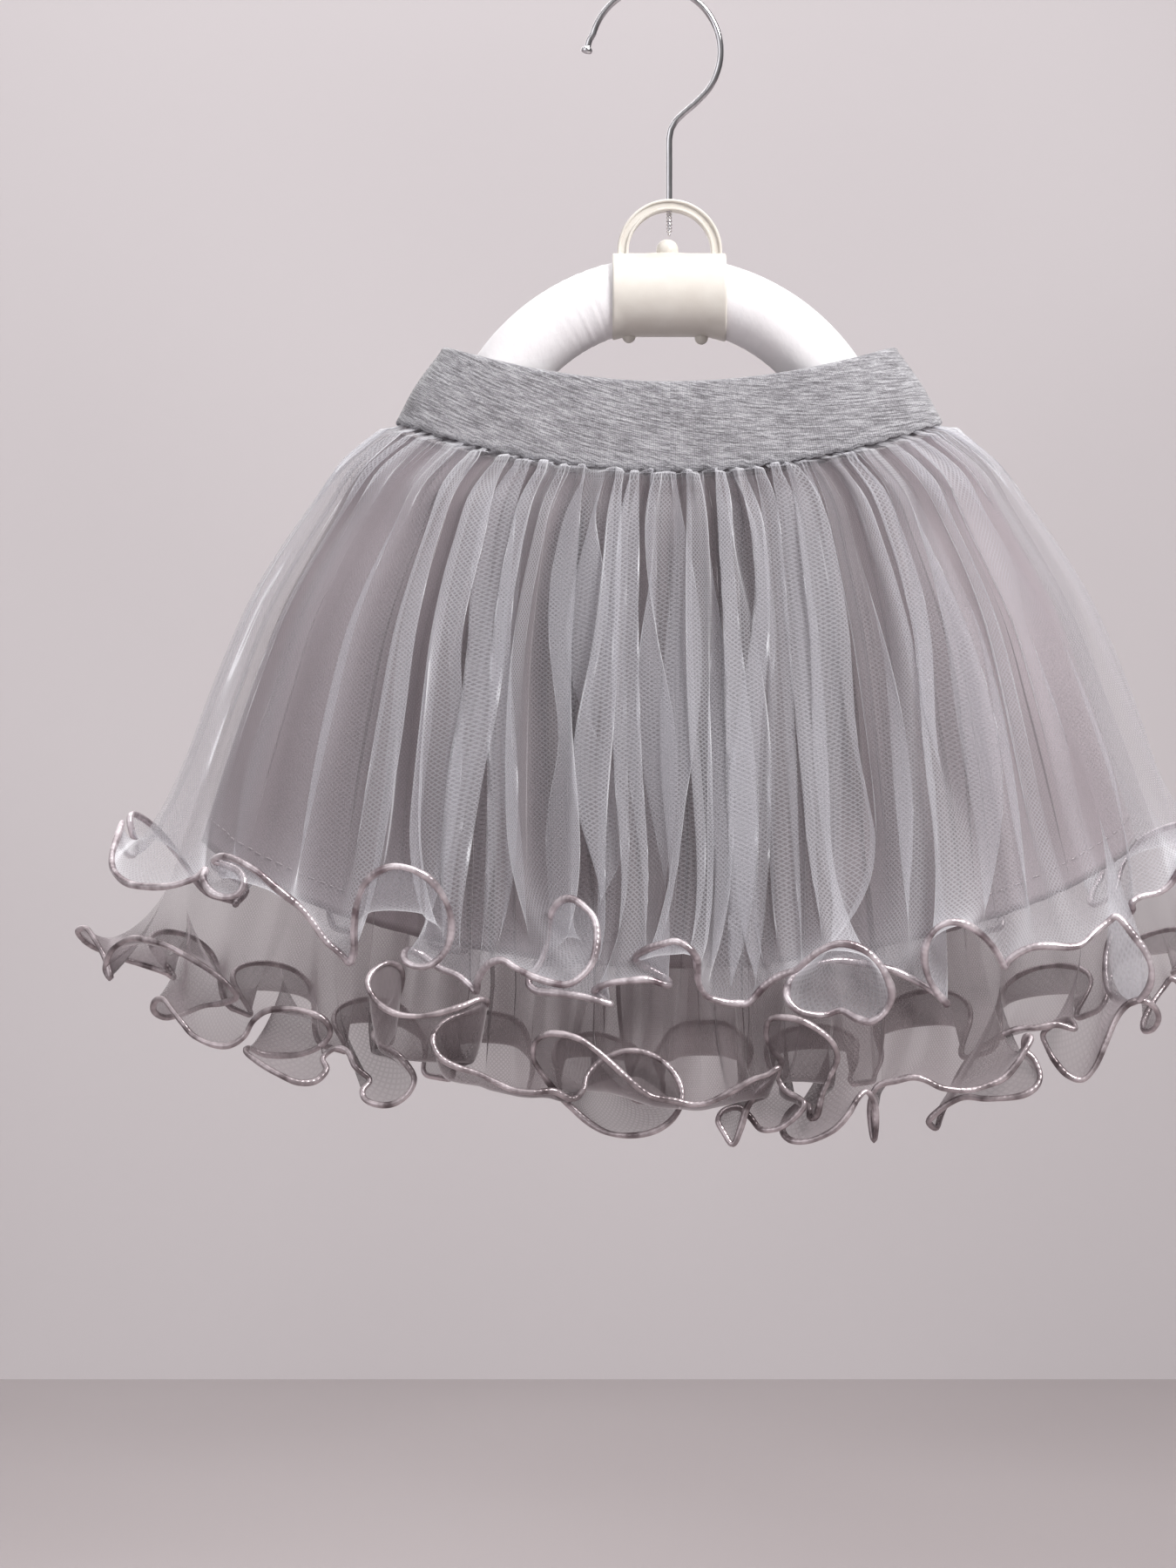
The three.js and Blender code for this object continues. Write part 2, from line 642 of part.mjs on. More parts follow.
// Clamp, half ring, ball and nubs, moulded in one piece round the padded tube
function clampGeometry() {
  const bore = ARCH.tubeRadius + SEAM_GAP;
  let clamp = sleeveSolid(bore);
  for (const nub of CLAMP_NUBS) {
    clamp = clamp.add(ballAt(nub.x, nub.z, nub.radius));
  }
  clamp = clamp.add(ballAt(STEM_X + CLAMP_BALL.aside, CLAMP_BALL.z, CLAMP_BALL.radius));
  clamp = clamp.add(halfRing(LOOP.outer, LOOP.inner, LOOP.web));
  clamp = clamp.add(halfRing(LOOP.outer, LOOP.outer - LOOP.rimWall, LOOP.rim));
  clamp = clamp.add(halfRing(LOOP.inner + LOOP.rimWall, LOOP.inner, LOOP.rim));
  const inside = rodOf(archPath(bore, CLAMP.halfAngle + CLAMP.boreReach, CLAMP.steps), TUBE_SIDES);
  const wireHole = WIRE_RADIUS + SEAM_GAP;
  const hole = new THREE.CylinderGeometry(wireHole, wireHole, WIRE_HOLE.length, WIRE_HOLE.sides);
  hole.rotateX(Math.PI / 2).translate(STEM_X, 0, LOOP.z + LOOP.outer - WIRE_HOLE.below);
  return geometryOfSolid(clamp.subtract(solidOf(inside)).subtract(solidOf(hole)));
}

const COLOURS = {
  jersey: 0x9c979d,
  net: 0xb5aeb3,
  lining: 0x9b9094,
  binding: 0x9e9298,
  padding: 0xf4f1ef,
  plastic: 0xf3eee6,
  metal: 0xc8c6c8,
};

function meshOf(name, geometry, colour) {
  const material = new THREE.MeshStandardMaterial({ color: COLOURS[colour] });
  const mesh = new THREE.Mesh(geometry, material);
  mesh.name = name;
  return mesh;
}

const netColumns = GATHERS * COLUMNS_PER_GATHER;
const outerGrid = layerGrid(OUTER_LAYER, netColumns);
const underGrid = layerGrid(UNDER_LAYER, netColumns);

const skirt = new THREE.Group();
skirt.name = "tulle_skirt";
skirt.add(meshOf("waistband", bandGeometry(), "jersey"));
skirt.add(meshOf("net_outer", wallOf(outerGrid, CLOTH_WALL), "net"));
skirt.add(meshOf("net_under", wallOf(underGrid, CLOTH_WALL), "net"));
skirt.add(meshOf("lining", wallOf(layerGrid(LINING_LAYER, LINING_COLUMNS), CLOTH_WALL), "lining"));
skirt.add(meshOf("binding_outer", rollOf(outerGrid), "binding"));
skirt.add(meshOf("binding_under", rollOf(underGrid), "binding"));
skirt.add(
  meshOf("hanger_tube", rodOf(archPath(ARCH.tubeRadius, ARCH.halfAngle, TUBE_STEPS), TUBE_SIDES), "padding"),
);
skirt.add(meshOf("hanger_clamp", clampGeometry(), "plastic"));
skirt.add(meshOf("hanger_hook", rodOf(hookPath(), WIRE_SIDES), "metal"));

export default skirt;
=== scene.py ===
"""Looks of the tulle skirt on its padded hanger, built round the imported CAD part.

Shapes are worked out in millimetres, as in the CAD source, and turned into metres when a mesh is
made. The front faces -Y and the origin is the inside of the hook's crown.
"""

import math

import bpy
import numpy as np
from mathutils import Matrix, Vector


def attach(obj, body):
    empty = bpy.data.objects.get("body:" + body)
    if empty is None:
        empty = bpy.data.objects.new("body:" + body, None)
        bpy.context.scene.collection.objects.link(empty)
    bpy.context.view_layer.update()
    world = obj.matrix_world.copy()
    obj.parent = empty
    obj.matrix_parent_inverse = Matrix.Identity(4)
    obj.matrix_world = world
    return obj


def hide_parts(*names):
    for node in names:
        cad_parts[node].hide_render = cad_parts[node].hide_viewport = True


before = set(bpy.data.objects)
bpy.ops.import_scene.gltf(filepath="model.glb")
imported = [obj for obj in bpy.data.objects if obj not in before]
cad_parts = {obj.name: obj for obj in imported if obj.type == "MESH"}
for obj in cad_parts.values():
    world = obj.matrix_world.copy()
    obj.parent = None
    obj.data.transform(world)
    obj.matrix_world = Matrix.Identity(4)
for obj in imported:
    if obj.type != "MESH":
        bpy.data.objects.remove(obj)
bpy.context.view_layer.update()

METRES = 0.001
SCENE = bpy.context.scene

# Camera: the photograph's distance and viewing height, in metres
CAMERA_PLACE = (-0.0266, -1.5, -0.3126)
CAMERA_LENS = 87.5
SENSOR_HEIGHT = 36

# Skirt sizes in millimetres, the same as in the CAD source
STEM_X = 5.3
BAND = {
    "top_half_width": 90,
    "bottom_half_width": 107.5,
    "half_depth": 21.5,
    "squareness": 2.6,
    "top_z": -141.1,
    "bottom_z": -170.6,
    "top_sag": 15,
    "bottom_sag": 20.3,
    "wall": 3,
    "belly": 1.2,
}
SEAM_GAP = 0.3
NET_TOP = 0.58
TUCK = 1.6
LENGTHS = {
    "outer": {"side": 178, "middle": 198.6},
    "under": {"side": 211, "middle": 253},
    "lining": {"side": 158, "middle": 186},
}
REACHES = {"outer": {"side": 56, "middle": 60}, "under": {"side": 42, "middle": 58}}
HEM = {"half_width": 204, "half_depth": 94, "squareness": 2.1}
SPREAD = 0.45

# Rings of the skirt's mean surface. Drop is in lengths of the outer net.
PROFILE = {
    "drop": [0, 0.01, 0.03, 0.08, 0.174, 0.27, 0.38, 0.53, 0.66, 0.8, 1, 1.2, 1.35],
    "half_width": [106.6, 110.6, 116.8, 127.5, 139.5, 151, 162.5, 174, 183, 192, 204, 213, 217],
    "half_depth": [20.4, 22, 25.6, 32, 40, 47.5, 55.5, 66, 74.5, 83.5, 94, 101, 105],
    "squareness": [2.6, 2.58, 2.55, 2.5, 2.4, 2.35, 2.3, 2.2, 2.15, 2.1, 2.1, 2.1, 2.1],
}

# How far in from the mean surface each layer's folds lie
INSET = {
    "drop": [0, 0.06, 0.2, 0.5, 0.75, 1, 1.35],
    "outer": [0.2, -0.4, -1, -1.4, -1.2, -0.4, 0],
    "under": [1.5, 3, 5, 7, 7.5, 8, 7],
    "lining": [3.6, 6, 9.5, 12.5, 14, 15, 15],
}

# Sets of folds that cross over each other. Count is the folds round the skirt, depth their height in
# millimetres, turn how far their flanks turn back under the crests, as a share of a fold, and calm
# how much flatter they are at the skirt's sides.
FOLD_SETS = [
    {"name": "fine", "count": 101, "depth": 0.9, "turn": 0.12, "start": 0.0, "calm": 0.85},
    {"name": "middle", "count": 53, "depth": 2.6, "turn": 0.34, "start": 1.7, "calm": 0.85},
    {"name": "broad", "count": 21, "depth": 3.4, "turn": 0.17, "start": 4.4, "calm": 0.35},
]
CREST_ROUNDING = 0.14
FOLD_SHARES = {
    "drop": [0, 0.04, 0.12, 0.3, 0.6, 1, 1.35],
    "fine": [1.1, 1.2, 0.5, 0.2, 0.1, 0, 0],
    "middle": [0.15, 0.6, 1, 1.1, 0.95, 0.25, 0.1],
    "broad": [0.05, 0.2, 0.5, 0.9, 1.1, 0.6, 0.35],
}

# How deep the folds of each layer are next to the outer net's, and how far round they are shifted
LAYER_SHARES = {"outer": 1, "under": 0.42, "lining": 0.22}
LAYER_STARTS = {"outer": 0.0, "under": 2.6, "lining": 4.0}

# Uneven height and turned flanks of the folds: a mean, and waves round the skirt that add to it. Own
# says whether a wave also moves with its set of folds and its layer.
UNEVEN_MEAN = 0.75
UNEVEN_COLUMNS = ("size", "times", "start", "wander", "own")
UNEVEN_HEIGHT = [(0.3, 5, 0, 0, 1), (0.35, 13, 2, 2, 1)]
UNEVEN_FLANKS = [(0.35, 9, 1, 0, 1), (0.3, 19, 3, -2, 0)]

# Where the skirt's sides begin, as a share of the way out to them, how soon they are reached, and the
# drop from which they count
SIDES = {"begin": 0.62, "width": 0.34, "drop": 0.2}

# How densely each net is bunched: a least density, how much the crests of each set of folds add in
# each layer, and how sharply and how much less at the sides
LEAST_DENSITY = 0.33
BUNCHES = {"middle": 1.15, "broad": 0.5}
BUNCH_SHARES = {"outer": 1, "under": 0.25}
BUNCH_SHARPNESS = 1.5
SIDE_LOSS = 0.5

# Density at the skirt's sides and how much is added in its middle, and how far density also makes a net
# paler: painted highlight on the net's bunched crests and curled hem. The split between sides and middle
# paints shade in the skirt's middle: the dark under net is denser there and the outer net less pale.
MIDDLE_DENSITY_AND_SHADE = {"outer": (1.25, -0.5), "under": (0.65, 4)}
DENSITY_HIGHLIGHT = {"outer": 1, "under": 0}

# The net's puckered puff just below the waistband: how far it stands out and up, and at what drop or
# length below the seam. It is lower at the sides.
PUFF = {"out": 2.9, "least": 0.4, "drop": 0.02}
PUFF_RISE = {"height": 3.8, "at": 2.3, "reach": 1.15}
PUFF_SIDES = {"loss": 0.6, "power": 4}
PUCKERS = {"mean": 0.62, "small": 0.22, "small_count": 61, "wide": 0.16, "wide_count": 37}

# Uneven widths of the folds: waves round the skirt that hurry and slow them, and a slow wander
FOLD_WAVES = [
    {"times": 7, "size": 1.3, "start": 1.3, "wander": 0.9},
    {"times": 11, "size": 1.1, "start": 0.4, "wander": -1.4},
    {"times": 17, "size": 0.9, "start": 2.2, "wander": 1.5},
    {"times": 23, "size": 0.7, "start": 4.1, "wander": -2.1},
]

# Curls of each hem. Along is round the hem from the front's middle, to the right, in millimetres of
# the ring at the outer hem. Out, lift, curl and lean are how far the edge moves away from the mean
# surface, up, sideways at both flanks and sideways as a whole, and peak narrows the curl's top.
CURL_COLUMNS = ("along", "half", "out", "lift", "curl", "lean", "peak")
OUTER_CURLS = [
    (-258, 37, 11, 27, 3, 0, 1),
    (-186, 27, 15, 13, 9, 6, 1.3),
    (-160, 11, 12, 16, 7, 0, 1),
    (-99, 19, 22, 33, 15, 3, 0.8),
    (-41, 18, 20, 26, 12, 6, 1),
    (-2, 15, 16, 20, 9, 0, 1),
    (61, 18, 24, 30, 15, 0, 0.75),
    (108, 17, 20, 28, 12, -1, 0.8),
    (163, 22, 18, 27, 16, 4, 0.8),
    (220, 25, 17, 24, 12, 0, 1),
    (276, 22, 17, 26, 13, 1, 1),
    (328, 21, 18, 22, 11, -1, 1),
    (377, 20, 19, 30, 13, 0, 1),
    (424, 20, 18, 24, 11, 1, 1),
    (469, 19, 18, 26, 12, -1, 1),
    (512, 18, 17, 22, 10, 1, 1),
    (555, 19, 18, 26, 12, 0, 1),
    (600, 20, 18, 25, 11, -1, 1),
    (648, 22, 18, 28, 12, 1, 1),
]
UNDER_CURLS = [
    (-243, 24, 19, 22, 10, 0, 1),
    (-189, 21, 18, 25, 12, 1, 1),
    (-147, 15, 16, 24, 10, -1, 1),
    (-113, 15, 16, 28, 11, 0, 1),
    (-77, 16, 18, 34, 12, 0, 1),
    (-43, 14, 16, 32, 11, 0, 1),
    (-11, 14, 18, 34, 12, 1, 1),
    (17, 11, 7, 14, 6, 0, 1),
    (54, 20, 20, 38, 14, -1, 1),
    (95, 15, 17, 26, 11, 0, 1),
    (131, 16, 18, 34, 12, 0, 1),
    (187, 24, 19, 27, 12, 1, 1),
    (240, 21, 18, 22, 10, 0, 1),
    (289, 22, 18, 24, 12, 0, 1),
    (338, 21, 17, 28, 12, -1, 1),
    (385, 20, 18, 32, 12, 1, 1),
    (430, 19, 18, 26, 11, 0, 1),
    (473, 18, 17, 32, 12, -1, 1),
    (515, 18, 18, 26, 10, 0, 1),
    (557, 18, 17, 30, 11, 0, 1),
    (600, 19, 18, 26, 10, 0, 1),
    (643, 18, 18, 27, 11, 0, 1),
    (684, 17, 15, 24, 10, 0, 1),
]
CURLS = {"outer": OUTER_CURLS, "under": UNDER_CURLS}

# The front of each hem, from the left to the right, in stretches. A stretch takes the cloth from one
# place along the hem ring to another. Its points are as seen from the camera: across and height in
# the plane of the hanger, and how far nearer than the hem ring, all in millimetres.
OUTER_FRONT = [
    (-262, -192, "left curl", [
        (-190, -350, -30), (-197, -347, -26), (-204, -343.5, -21), (-209, -339, -15), (-211, -333, -9),
        (-210, -328, -4), (-212, -334, 1), (-214, -341, 5), (-213, -347, 9), (-208, -351.5, 13),
        (-200, -353, 16), (-190, -352.5, 18), (-181, -349.5, 16), (-177, -346, 12)]),
    (-192, -172, "small rolled loop", [
        (-178, -350, 15), (-175, -355, 18), (-169, -357, 20), (-164, -355.5, 20), (-162, -351, 18),
        (-164, -347, 14), (-169, -344.5, 10), (-174, -343, 7)]),
    (-172, -121, "long slope", [
        (-171, -341, 10), (-165, -342.5, 17), (-157, -347, 20), (-150, -353, 18), (-145, -357, 16),
        (-140, -361, 13), (-135, -367, 10), (-130, -374, 7), (-124, -379.5, 4), (-120.5, -383, 2)]),
    (-121, -84, "left arch", [
        (-118.7, -378, 4), (-118.7, -370, 8), (-118, -362, 13), (-116, -355, 17), (-113, -350, 20),
        (-107, -346, 23), (-101, -345, 24), (-94, -347, 24), (-88, -351, 22), (-83, -358, 19),
        (-80.5, -366, 16), (-81, -374, 13), (-84, -380, 10), (-89, -384, 8), (-95, -384.3, 5),
        (-99, -381.5, 2), (-98, -378, -3), (-92, -380, -6)]),
    (-84, -66, "low flat stretch", [
        (-85, -385, -3), (-78, -388, 0), (-73, -392, 2), (-70.5, -394.5, 3), (-70, -390, 4), (-68, -386, 6)]),
    (-66, -30, "round curl", [
        (-65, -383, 9), (-60, -382, 12), (-55, -385, 14), (-48, -388.5, 16), (-40, -391, 18),
        (-35, -391.5, 20), (-30, -389, 22), (-25, -383, 22), (-23, -374, 20), (-24, -366, 18),
        (-28, -361, 15), (-33, -357.8, 11), (-38, -359, 7), (-41, -364, 3), (-42, -372, -1),
        (-45, -382, -3), (-50, -390, -2)]),
    (-30, -4, "flat roll", [
        (-47, -394, 0), (-40, -394.7, 3), (-30, -396, 5), (-22, -398, 6), (-17.5, -399, 5),
        (-21, -397, 2), (-24, -394, 4), (-18, -391, 8), (-10, -390, 10), (-3, -389.5, 10), (5, -391.8, 8)]),
    (-4, 14, "bulb", [
        (4, -389, 1), (-3, -385, 1), (-8, -381, 5), (-3, -377.5, 10), (3, -375.5, 14), (8, -374.5, 17),
        (13, -377, 18), (16, -381, 16), (16.5, -386, 12)]),
    (14, 44, "middle trough", [
        (17, -391, 8), (20, -396, 4), (27, -398.5, 2), (33, -399, 2), (37, -398.5, 3), (42, -393, 5),
        (48, -388.5, 8), (55, -385.8, 12)]),
    (44, 82, "heart-shaped bell", [
        (59, -382.5, 18), (65, -378, 22), (72, -375.5, 25), (79, -376.5, 26), (85, -380, 26),
        (90, -386.5, 25), (93, -395, 23), (90.5, -402, 21), (85, -406, 19), (79, -404.8, 17),
        (73, -401.8, 14), (66, -403.5, 15), (58, -402.7, 16), (53, -399, 16), (51.5, -394, 13),
        (54, -388.5, 8), (60, -384.5, 2), (70, -382, -3), (80, -383, -3)]),
    (82, 104, "right slope", [
        (88, -384.5, 2), (95, -386.5, 3), (104, -391, 4), (111, -395.5, 5), (115, -399.5, 5)]),
    (104, 128, "right arch", [
        (111, -395, 8), (107.5, -389, 11), (105.8, -382, 14), (106.5, -375.5, 17), (110, -370, 20),
        (115, -367.2, 22), (120.5, -367.3, 22), (126, -370, 20), (131.5, -375, 17), (135, -380, 13),
        (137.3, -384.5, 9)]),
    (128, 166, "rising edge", [
        (139, -382, 9), (143, -379, 10), (149, -376.7, 12), (156, -376.3, 14), (163, -376.7, 15),
        (168, -375.5, 15), (173, -371, 14), (178, -367, 14), (182, -365, 15)]),
    (166, 206, "right bell", [
        (188, -372, 18), (193, -379, 20), (195.3, -386, 20), (194, -393, 18), (189.5, -398, 14),
        (184, -399, 9), (179, -395, 3), (177, -387, -1), (178, -377, -3), (182, -368, -3),
        (186.5, -362.5, 0), (184, -359.5, 6), (188, -355.5, 3), (197, -355.5, 2), (206, -355.8, 3),
        (214, -359, 2)]),
]
UNDER_FRONT = [
    (-268, -238, "left tip", [
        (-190, -388, -32), (-197, -388.5, -26), (-205, -386.5, -20), (-213, -382.5, -12), (-219, -378, -5),
        (-225, -374, 1), (-227.5, -370.5, 5), (-224, -369.5, 8), (-220, -375, 10), (-216, -383, 10),
        (-214.5, -389, 9)]),
    (-238, -198, "first loop", [
        (-216.5, -385, 6), (-214, -378, 8), (-207, -373.5, 12), (-200, -374, 15), (-193, -376, 17),
        (-187, -379, 18), (-180, -383, 18), (-174, -387, 17), (-168, -392, 15), (-165, -396.5, 10),
        (-171, -399, 4), (-178, -400, 0), (-186, -403, -2), (-193, -404.5, 1), (-197.5, -402, 5),
        (-197, -398, 8), (-193.5, -397.5, 11)]),
    (-198, -166, "second loop", [
        (-190, -402, 12), (-186, -407, 12), (-182, -411.5, 11), (-175, -415, 11), (-168, -415.5, 10),
        (-162, -412, 8), (-158.5, -406, 8)]),
    (-166, -136, "third loop", [
        (-153, -401.8, 10), (-145, -401, 13), (-138, -402, 15), (-131, -405, 15), (-128, -410, 13),
        (-131, -415, 9), (-138, -418.5, 5), (-146, -419.5, 2), (-154, -419, 1), (-160, -416.5, 3),
        (-161, -418.5, 7), (-155, -423, 12), (-148, -427, 14), (-141, -430, 14), (-134, -429.5, 12),
        (-129.5, -425, 9), (-131, -420.5, 5), (-126, -416.5, 3)]),
    (-136, -110, "ring", [
        (-121, -418, 5), (-118, -424, 8), (-112.5, -429, 8), (-115.3, -433, 10), (-114, -437, 12),
        (-108, -439, 14), (-102, -438, 14), (-97, -434, 13), (-95, -428.5, 12), (-98, -423, 11),
        (-103, -418, 9), (-108, -415.5, 6), (-111, -411, 1), (-107, -403, -4), (-101, -394, -4)]),
    (-110, -72, "wide bowl", [
        (-100, -386, -1), (-105, -383, 5), (-111, -386, 9), (-113.3, -391.5, 12), (-109.5, -398.5, 14),
        (-103, -402.7, 16), (-95, -404, 16), (-86, -403, 15), (-77, -400.3, 13), (-69, -397.3, 9),
        (-66, -399, 4), (-73, -402.5, 2), (-81, -405, 4), (-86, -409, 7), (-87.7, -414, 9),
        (-85, -420, 11), (-79, -423.7, 12)]),
    (-72, -52, "low stretch", [
        (-70, -426.5, 12), (-63, -430, 13), (-56, -433, 14), (-48, -434, 14), (-40, -433.5, 12)]),
    (-52, -24, "round bell", [
        (-33, -436.5, 9), (-28.5, -433, 7), (-27, -427.5, 4), (-22, -422, 1), (-15, -418.4, 0),
        (-7, -417.7, 0), (1, -420.5, 1), (7, -426, 3), (10.2, -433, 5), (9.5, -440, 7), (5, -446, 9),
        (-2, -449.8, 10), (-11, -451, 9), (-19, -449.8, 6), (-26, -446, 3), (-33, -440, 1),
        (-39, -434, 2)]),
    (-24, 22, "long front edge", [
        (-44, -427.5, 5), (-48, -421, 7), (-47.5, -414.5, 9), (-43, -411.2, 13), (-37, -411, 16),
        (-30, -413, 18), (-24, -417, 19), (-18, -422, 19), (-11, -428.5, 18), (-5, -433.5, 17),
        (0, -436, 16), (8, -437.4, 16), (15, -438.7, 16), (22, -437.5, 17), (30, -433.5, 18),
        (38, -429, 18), (44, -427, 18), (48.5, -424.3, 17)]),
    (22, 42, "pointed fold", [
        (47, -428, 12), (41, -433, 9), (36, -440, 8), (33.5, -448, 8), (30.5, -454.5, 8), (27, -450, 6),
        (24.5, -445, 4), (27, -441, 1), (33, -440, -1), (37.5, -444, 0), (41.5, -448.5, 3),
        (48, -448.2, 6), (54, -444.5, 8), (58.5, -439, 9), (56, -436, 7), (51, -433, 4)]),
    (42, 74, "upright ring", [
        (48, -427, 3), (49.5, -422, 5), (45.5, -417, 7), (43.5, -411, 10), (45, -405.3, 13),
        (51, -404.5, 15), (58, -406, 17), (65, -410, 17), (70, -415, 16), (71.5, -421, 14),
        (68.5, -428, 12), (65.5, -435, 11), (63.5, -443, 10), (61, -443.8, 7), (60, -439, 3),
        (56, -439, 0), (51.5, -443, 1), (50, -449, 4), (53, -452.7, 7), (59, -453.3, 10),
        (65, -451.5, 12), (71, -448, 13), (76, -442.5, 13), (79.5, -436.5, 12)]),
    (74, 116, "fine points", [
        (83, -433.5, 10), (86, -438, 9), (86.7, -446, 9), (86, -453, 9), (84.6, -446, 8), (84.5, -438, 7),
        (87.5, -431.5, 8), (95, -429.3, 10), (101, -428, 12), (106, -429, 13), (112, -432, 13),
        (118, -433, 13), (124, -433, 13), (130, -431.5, 13), (137, -428.5, 13)]),
    (116, 140, "double bend", [
        (142, -423, 13), (145.5, -417.5, 13), (148, -412.7, 11), (145.6, -412, 8), (145.3, -417, 6),
        (149, -421, 7), (151.3, -427, 9), (150, -431.5, 11), (146, -434.5, 12), (140, -436, 12),
        (130, -436.5, 12), (122, -435.8, 11), (116, -438, 10), (111, -441.5, 9), (107.5, -445.5, 8),
        (110.5, -448, 6), (112, -444, 2), (115, -436, -2), (120, -426, -3), (126, -418, -3)]),
    (140, 166, "pointed lip", [
        (131.5, -414.5, 1), (137, -411, 5), (143, -408.8, 9), (150, -408.5, 12), (158, -407.3, 14),
        (165, -409, 15), (163, -405.5, 10), (157, -407, 5), (152.5, -411, 3)]),
    (166, 212, "right curl", [
        (154, -416, 5), (157, -421.5, 8), (162, -427, 10), (168, -429, 12), (173, -424, 13),
        (177, -415, 14), (181, -405.5, 15), (185, -400, 16), (190, -397.7, 17), (195.5, -399.5, 17),
        (198, -404.5, 15), (196, -409, 11), (192, -409.3, 6), (193, -402, 0), (196, -394, -4),
        (198, -388.5, 0), (206, -389.5, 6), (214, -391, 7), (220, -389, 4)]),
]
FRONT_HEMS = {"outer": OUTER_FRONT, "under": UNDER_FRONT}

# The traced hem gives way to the curls' table over this length at each end, in millimetres. Its
# stretches are joined smoothly: steps from point to point, points at even lengths, and an odd count
# of these that are averaged.
FRONT_BLEND = 16
FRONT_STEPS = 12
FRONT_POINTS = 2400
FRONT_AVERAGE = 61

# Flutes that run up the skirt from each curl: where they start, their width and their height next to
# the curl's
FLUTES = {"drop": 0.3, "wide": 1.1, "share": 0.16}

# How far a curl's flanks move round, next to its own number
CURL_ROUND = 1.54

# A lifted edge hangs down first and turns up late, so its cloth keeps its length
RISE_POWER = 7
FALL_POWER = 3

# Columns of each net, its rows above its curled strip and down that strip, and how much closer they
# get towards the seam and the hem. The first rows are those of the puff.
NET_COLUMNS = 1500
PUFF_ROWS = 9
PUFF_LENGTH = 4
NET_ROWS = 36
CURL_ROWS = 31
ROW_POWERS = {"upper": 1.35, "lower": 1.25}
HEM_SAMPLES = 12000

# Each net's density in its curled strip, and how late on the way down it takes over. A net's edge
# value says how much longer the line of sight is inside cloth that turns away, up to a most.
HEM_DENSITY = {"outer": {"front": 1.8, "back": 1.8}, "under": {"front": 1.15, "back": 2.2}}
ROLLED_POWER = 3
EDGE_MOST = {"folds": 10, "hem": 2}

# Net: the width across its diagonal mesh, in metres, and the slant of its threads
MESH_PITCH = 0.0011
MESH_SLANT = 0.62

# Rolled satin binding along both hems
ROLL_RADIUS = {"outer": 1.35, "under": 1.15}
ROLL_SIDES = 10
HEM_STEPS = 4200

# Hanger sizes in millimetres, the same as in the CAD source
ARCH = {"x": 4.3, "z": -196, "radius": 76.8, "tube_radius": 14.2, "half_angle": 68}
CLAMP = {"radius": 16.4, "length": 44.6, "z": -120.2, "collar": 1.3}
NUBS = [{"x": -10.5, "z": -136.4, "radius": 2.7}, {"x": 18, "z": -137, "radius": 2.7}]
BALL = {"x": 4.6, "z": -102.6, "radius": 4.4}
RING = {
    "x": 5.5,
    "z": -103.4,
    "outer": 20.6,
    "inner": 16.2,
    "web": 5,
    "rim": 7,
    "rim_wall": 1.1,
    "foot": -106,
}
WIRE_RADIUS = 1.3
HOOK = {"radius": 25.55, "z": -24.25, "start": -40, "end": 165}
STEM_POINTS = [(15.4, -44.9), (11.2, -48.4), (8, -51.4), (6, -54.9), (STEM_X, -59), (STEM_X, -92)]
TIP_POINTS = [(-27.5, -25.3), (-26.7, -22.2), (-26, -19.6)]
THREAD = {"top": -86, "pitch": 1.35, "depth": 0.3}
BUTTON = {"radius": 2.3, "length": 3}

# The lattice of sections that the mean surface is read from: steps round each section, and levels
# down to the lowest drop, closer together near the waist
SECTION_STEPS = 360
LEVELS = 54
LEVEL_POWER = 1.6
LOWEST_DROP = 1.35


def smooth_value(table, column, at):
    """A smooth value between the rows of a table, at a drop."""
    keys = np.array(table["drop"], float)
    values = np.array(table[column], float)
    at = np.clip(np.asarray(at, float), keys[0], keys[-1])
    i = np.clip(np.searchsorted(keys, at, side="left") - 1, 0, len(keys) - 2)
    rows = np.arange(len(keys))
    before, after = np.maximum(rows - 1, 0), np.minimum(rows + 1, len(keys) - 1)
    slope = (values[after] - values[before]) / (keys[after] - keys[before])
    span = keys[i + 1] - keys[i]
    t = (at - keys[i]) / span
    rise = values[i + 1] - values[i]
    a = slope[i] * span - rise
    b = rise - slope[i + 1] * span
    return values[i] + t * rise + t * (1 - t) * ((1 - t) * a + t * b)


def even_section(half_width, half_depth, squareness):
    """A closed section at even lengths round it, from the front's middle to the right."""
    angle = np.linspace(0, 2 * math.pi, SECTION_STEPS * 4 + 1)
    power = 2 / squareness
    across, deep = np.sin(angle), np.cos(angle)
    x = half_width * np.sign(across) * np.abs(across) ** power
    y = -half_depth * np.sign(deep) * np.abs(deep) ** power
    lengths = np.concatenate([[0], np.cumsum(np.hypot(np.diff(x), np.diff(y)))])
    wanted = np.linspace(0, lengths[-1], SECTION_STEPS + 1)
    return np.interp(wanted, lengths, x), np.interp(wanted, lengths, y), lengths[-1]


def profile_section(drop):
    """The mean surface's section at a drop, from the profile table."""
    sizes = (smooth_value(PROFILE, column, drop) for column in ("half_width", "half_depth", "squareness"))
    return even_section(*(float(size) for size in sizes))


LATTICE_DROPS = LOWEST_DROP * (np.arange(LEVELS + 1) / LEVELS) ** LEVEL_POWER
LATTICE = [profile_section(drop) for drop in LATTICE_DROPS]
LATTICE_X = np.array([section[0] for section in LATTICE])
LATTICE_Y = np.array([section[1] for section in LATTICE])
RING_LENGTHS = np.array([section[2] for section in LATTICE])
HEM_X, _, HEM_LENGTH = even_section(HEM["half_width"], HEM["half_depth"], HEM["squareness"])


def place_round(share):
    at = (share - np.floor(share)) * SECTION_STEPS
    i = np.minimum(at.astype(int), SECTION_STEPS - 1)
    return i, at - i


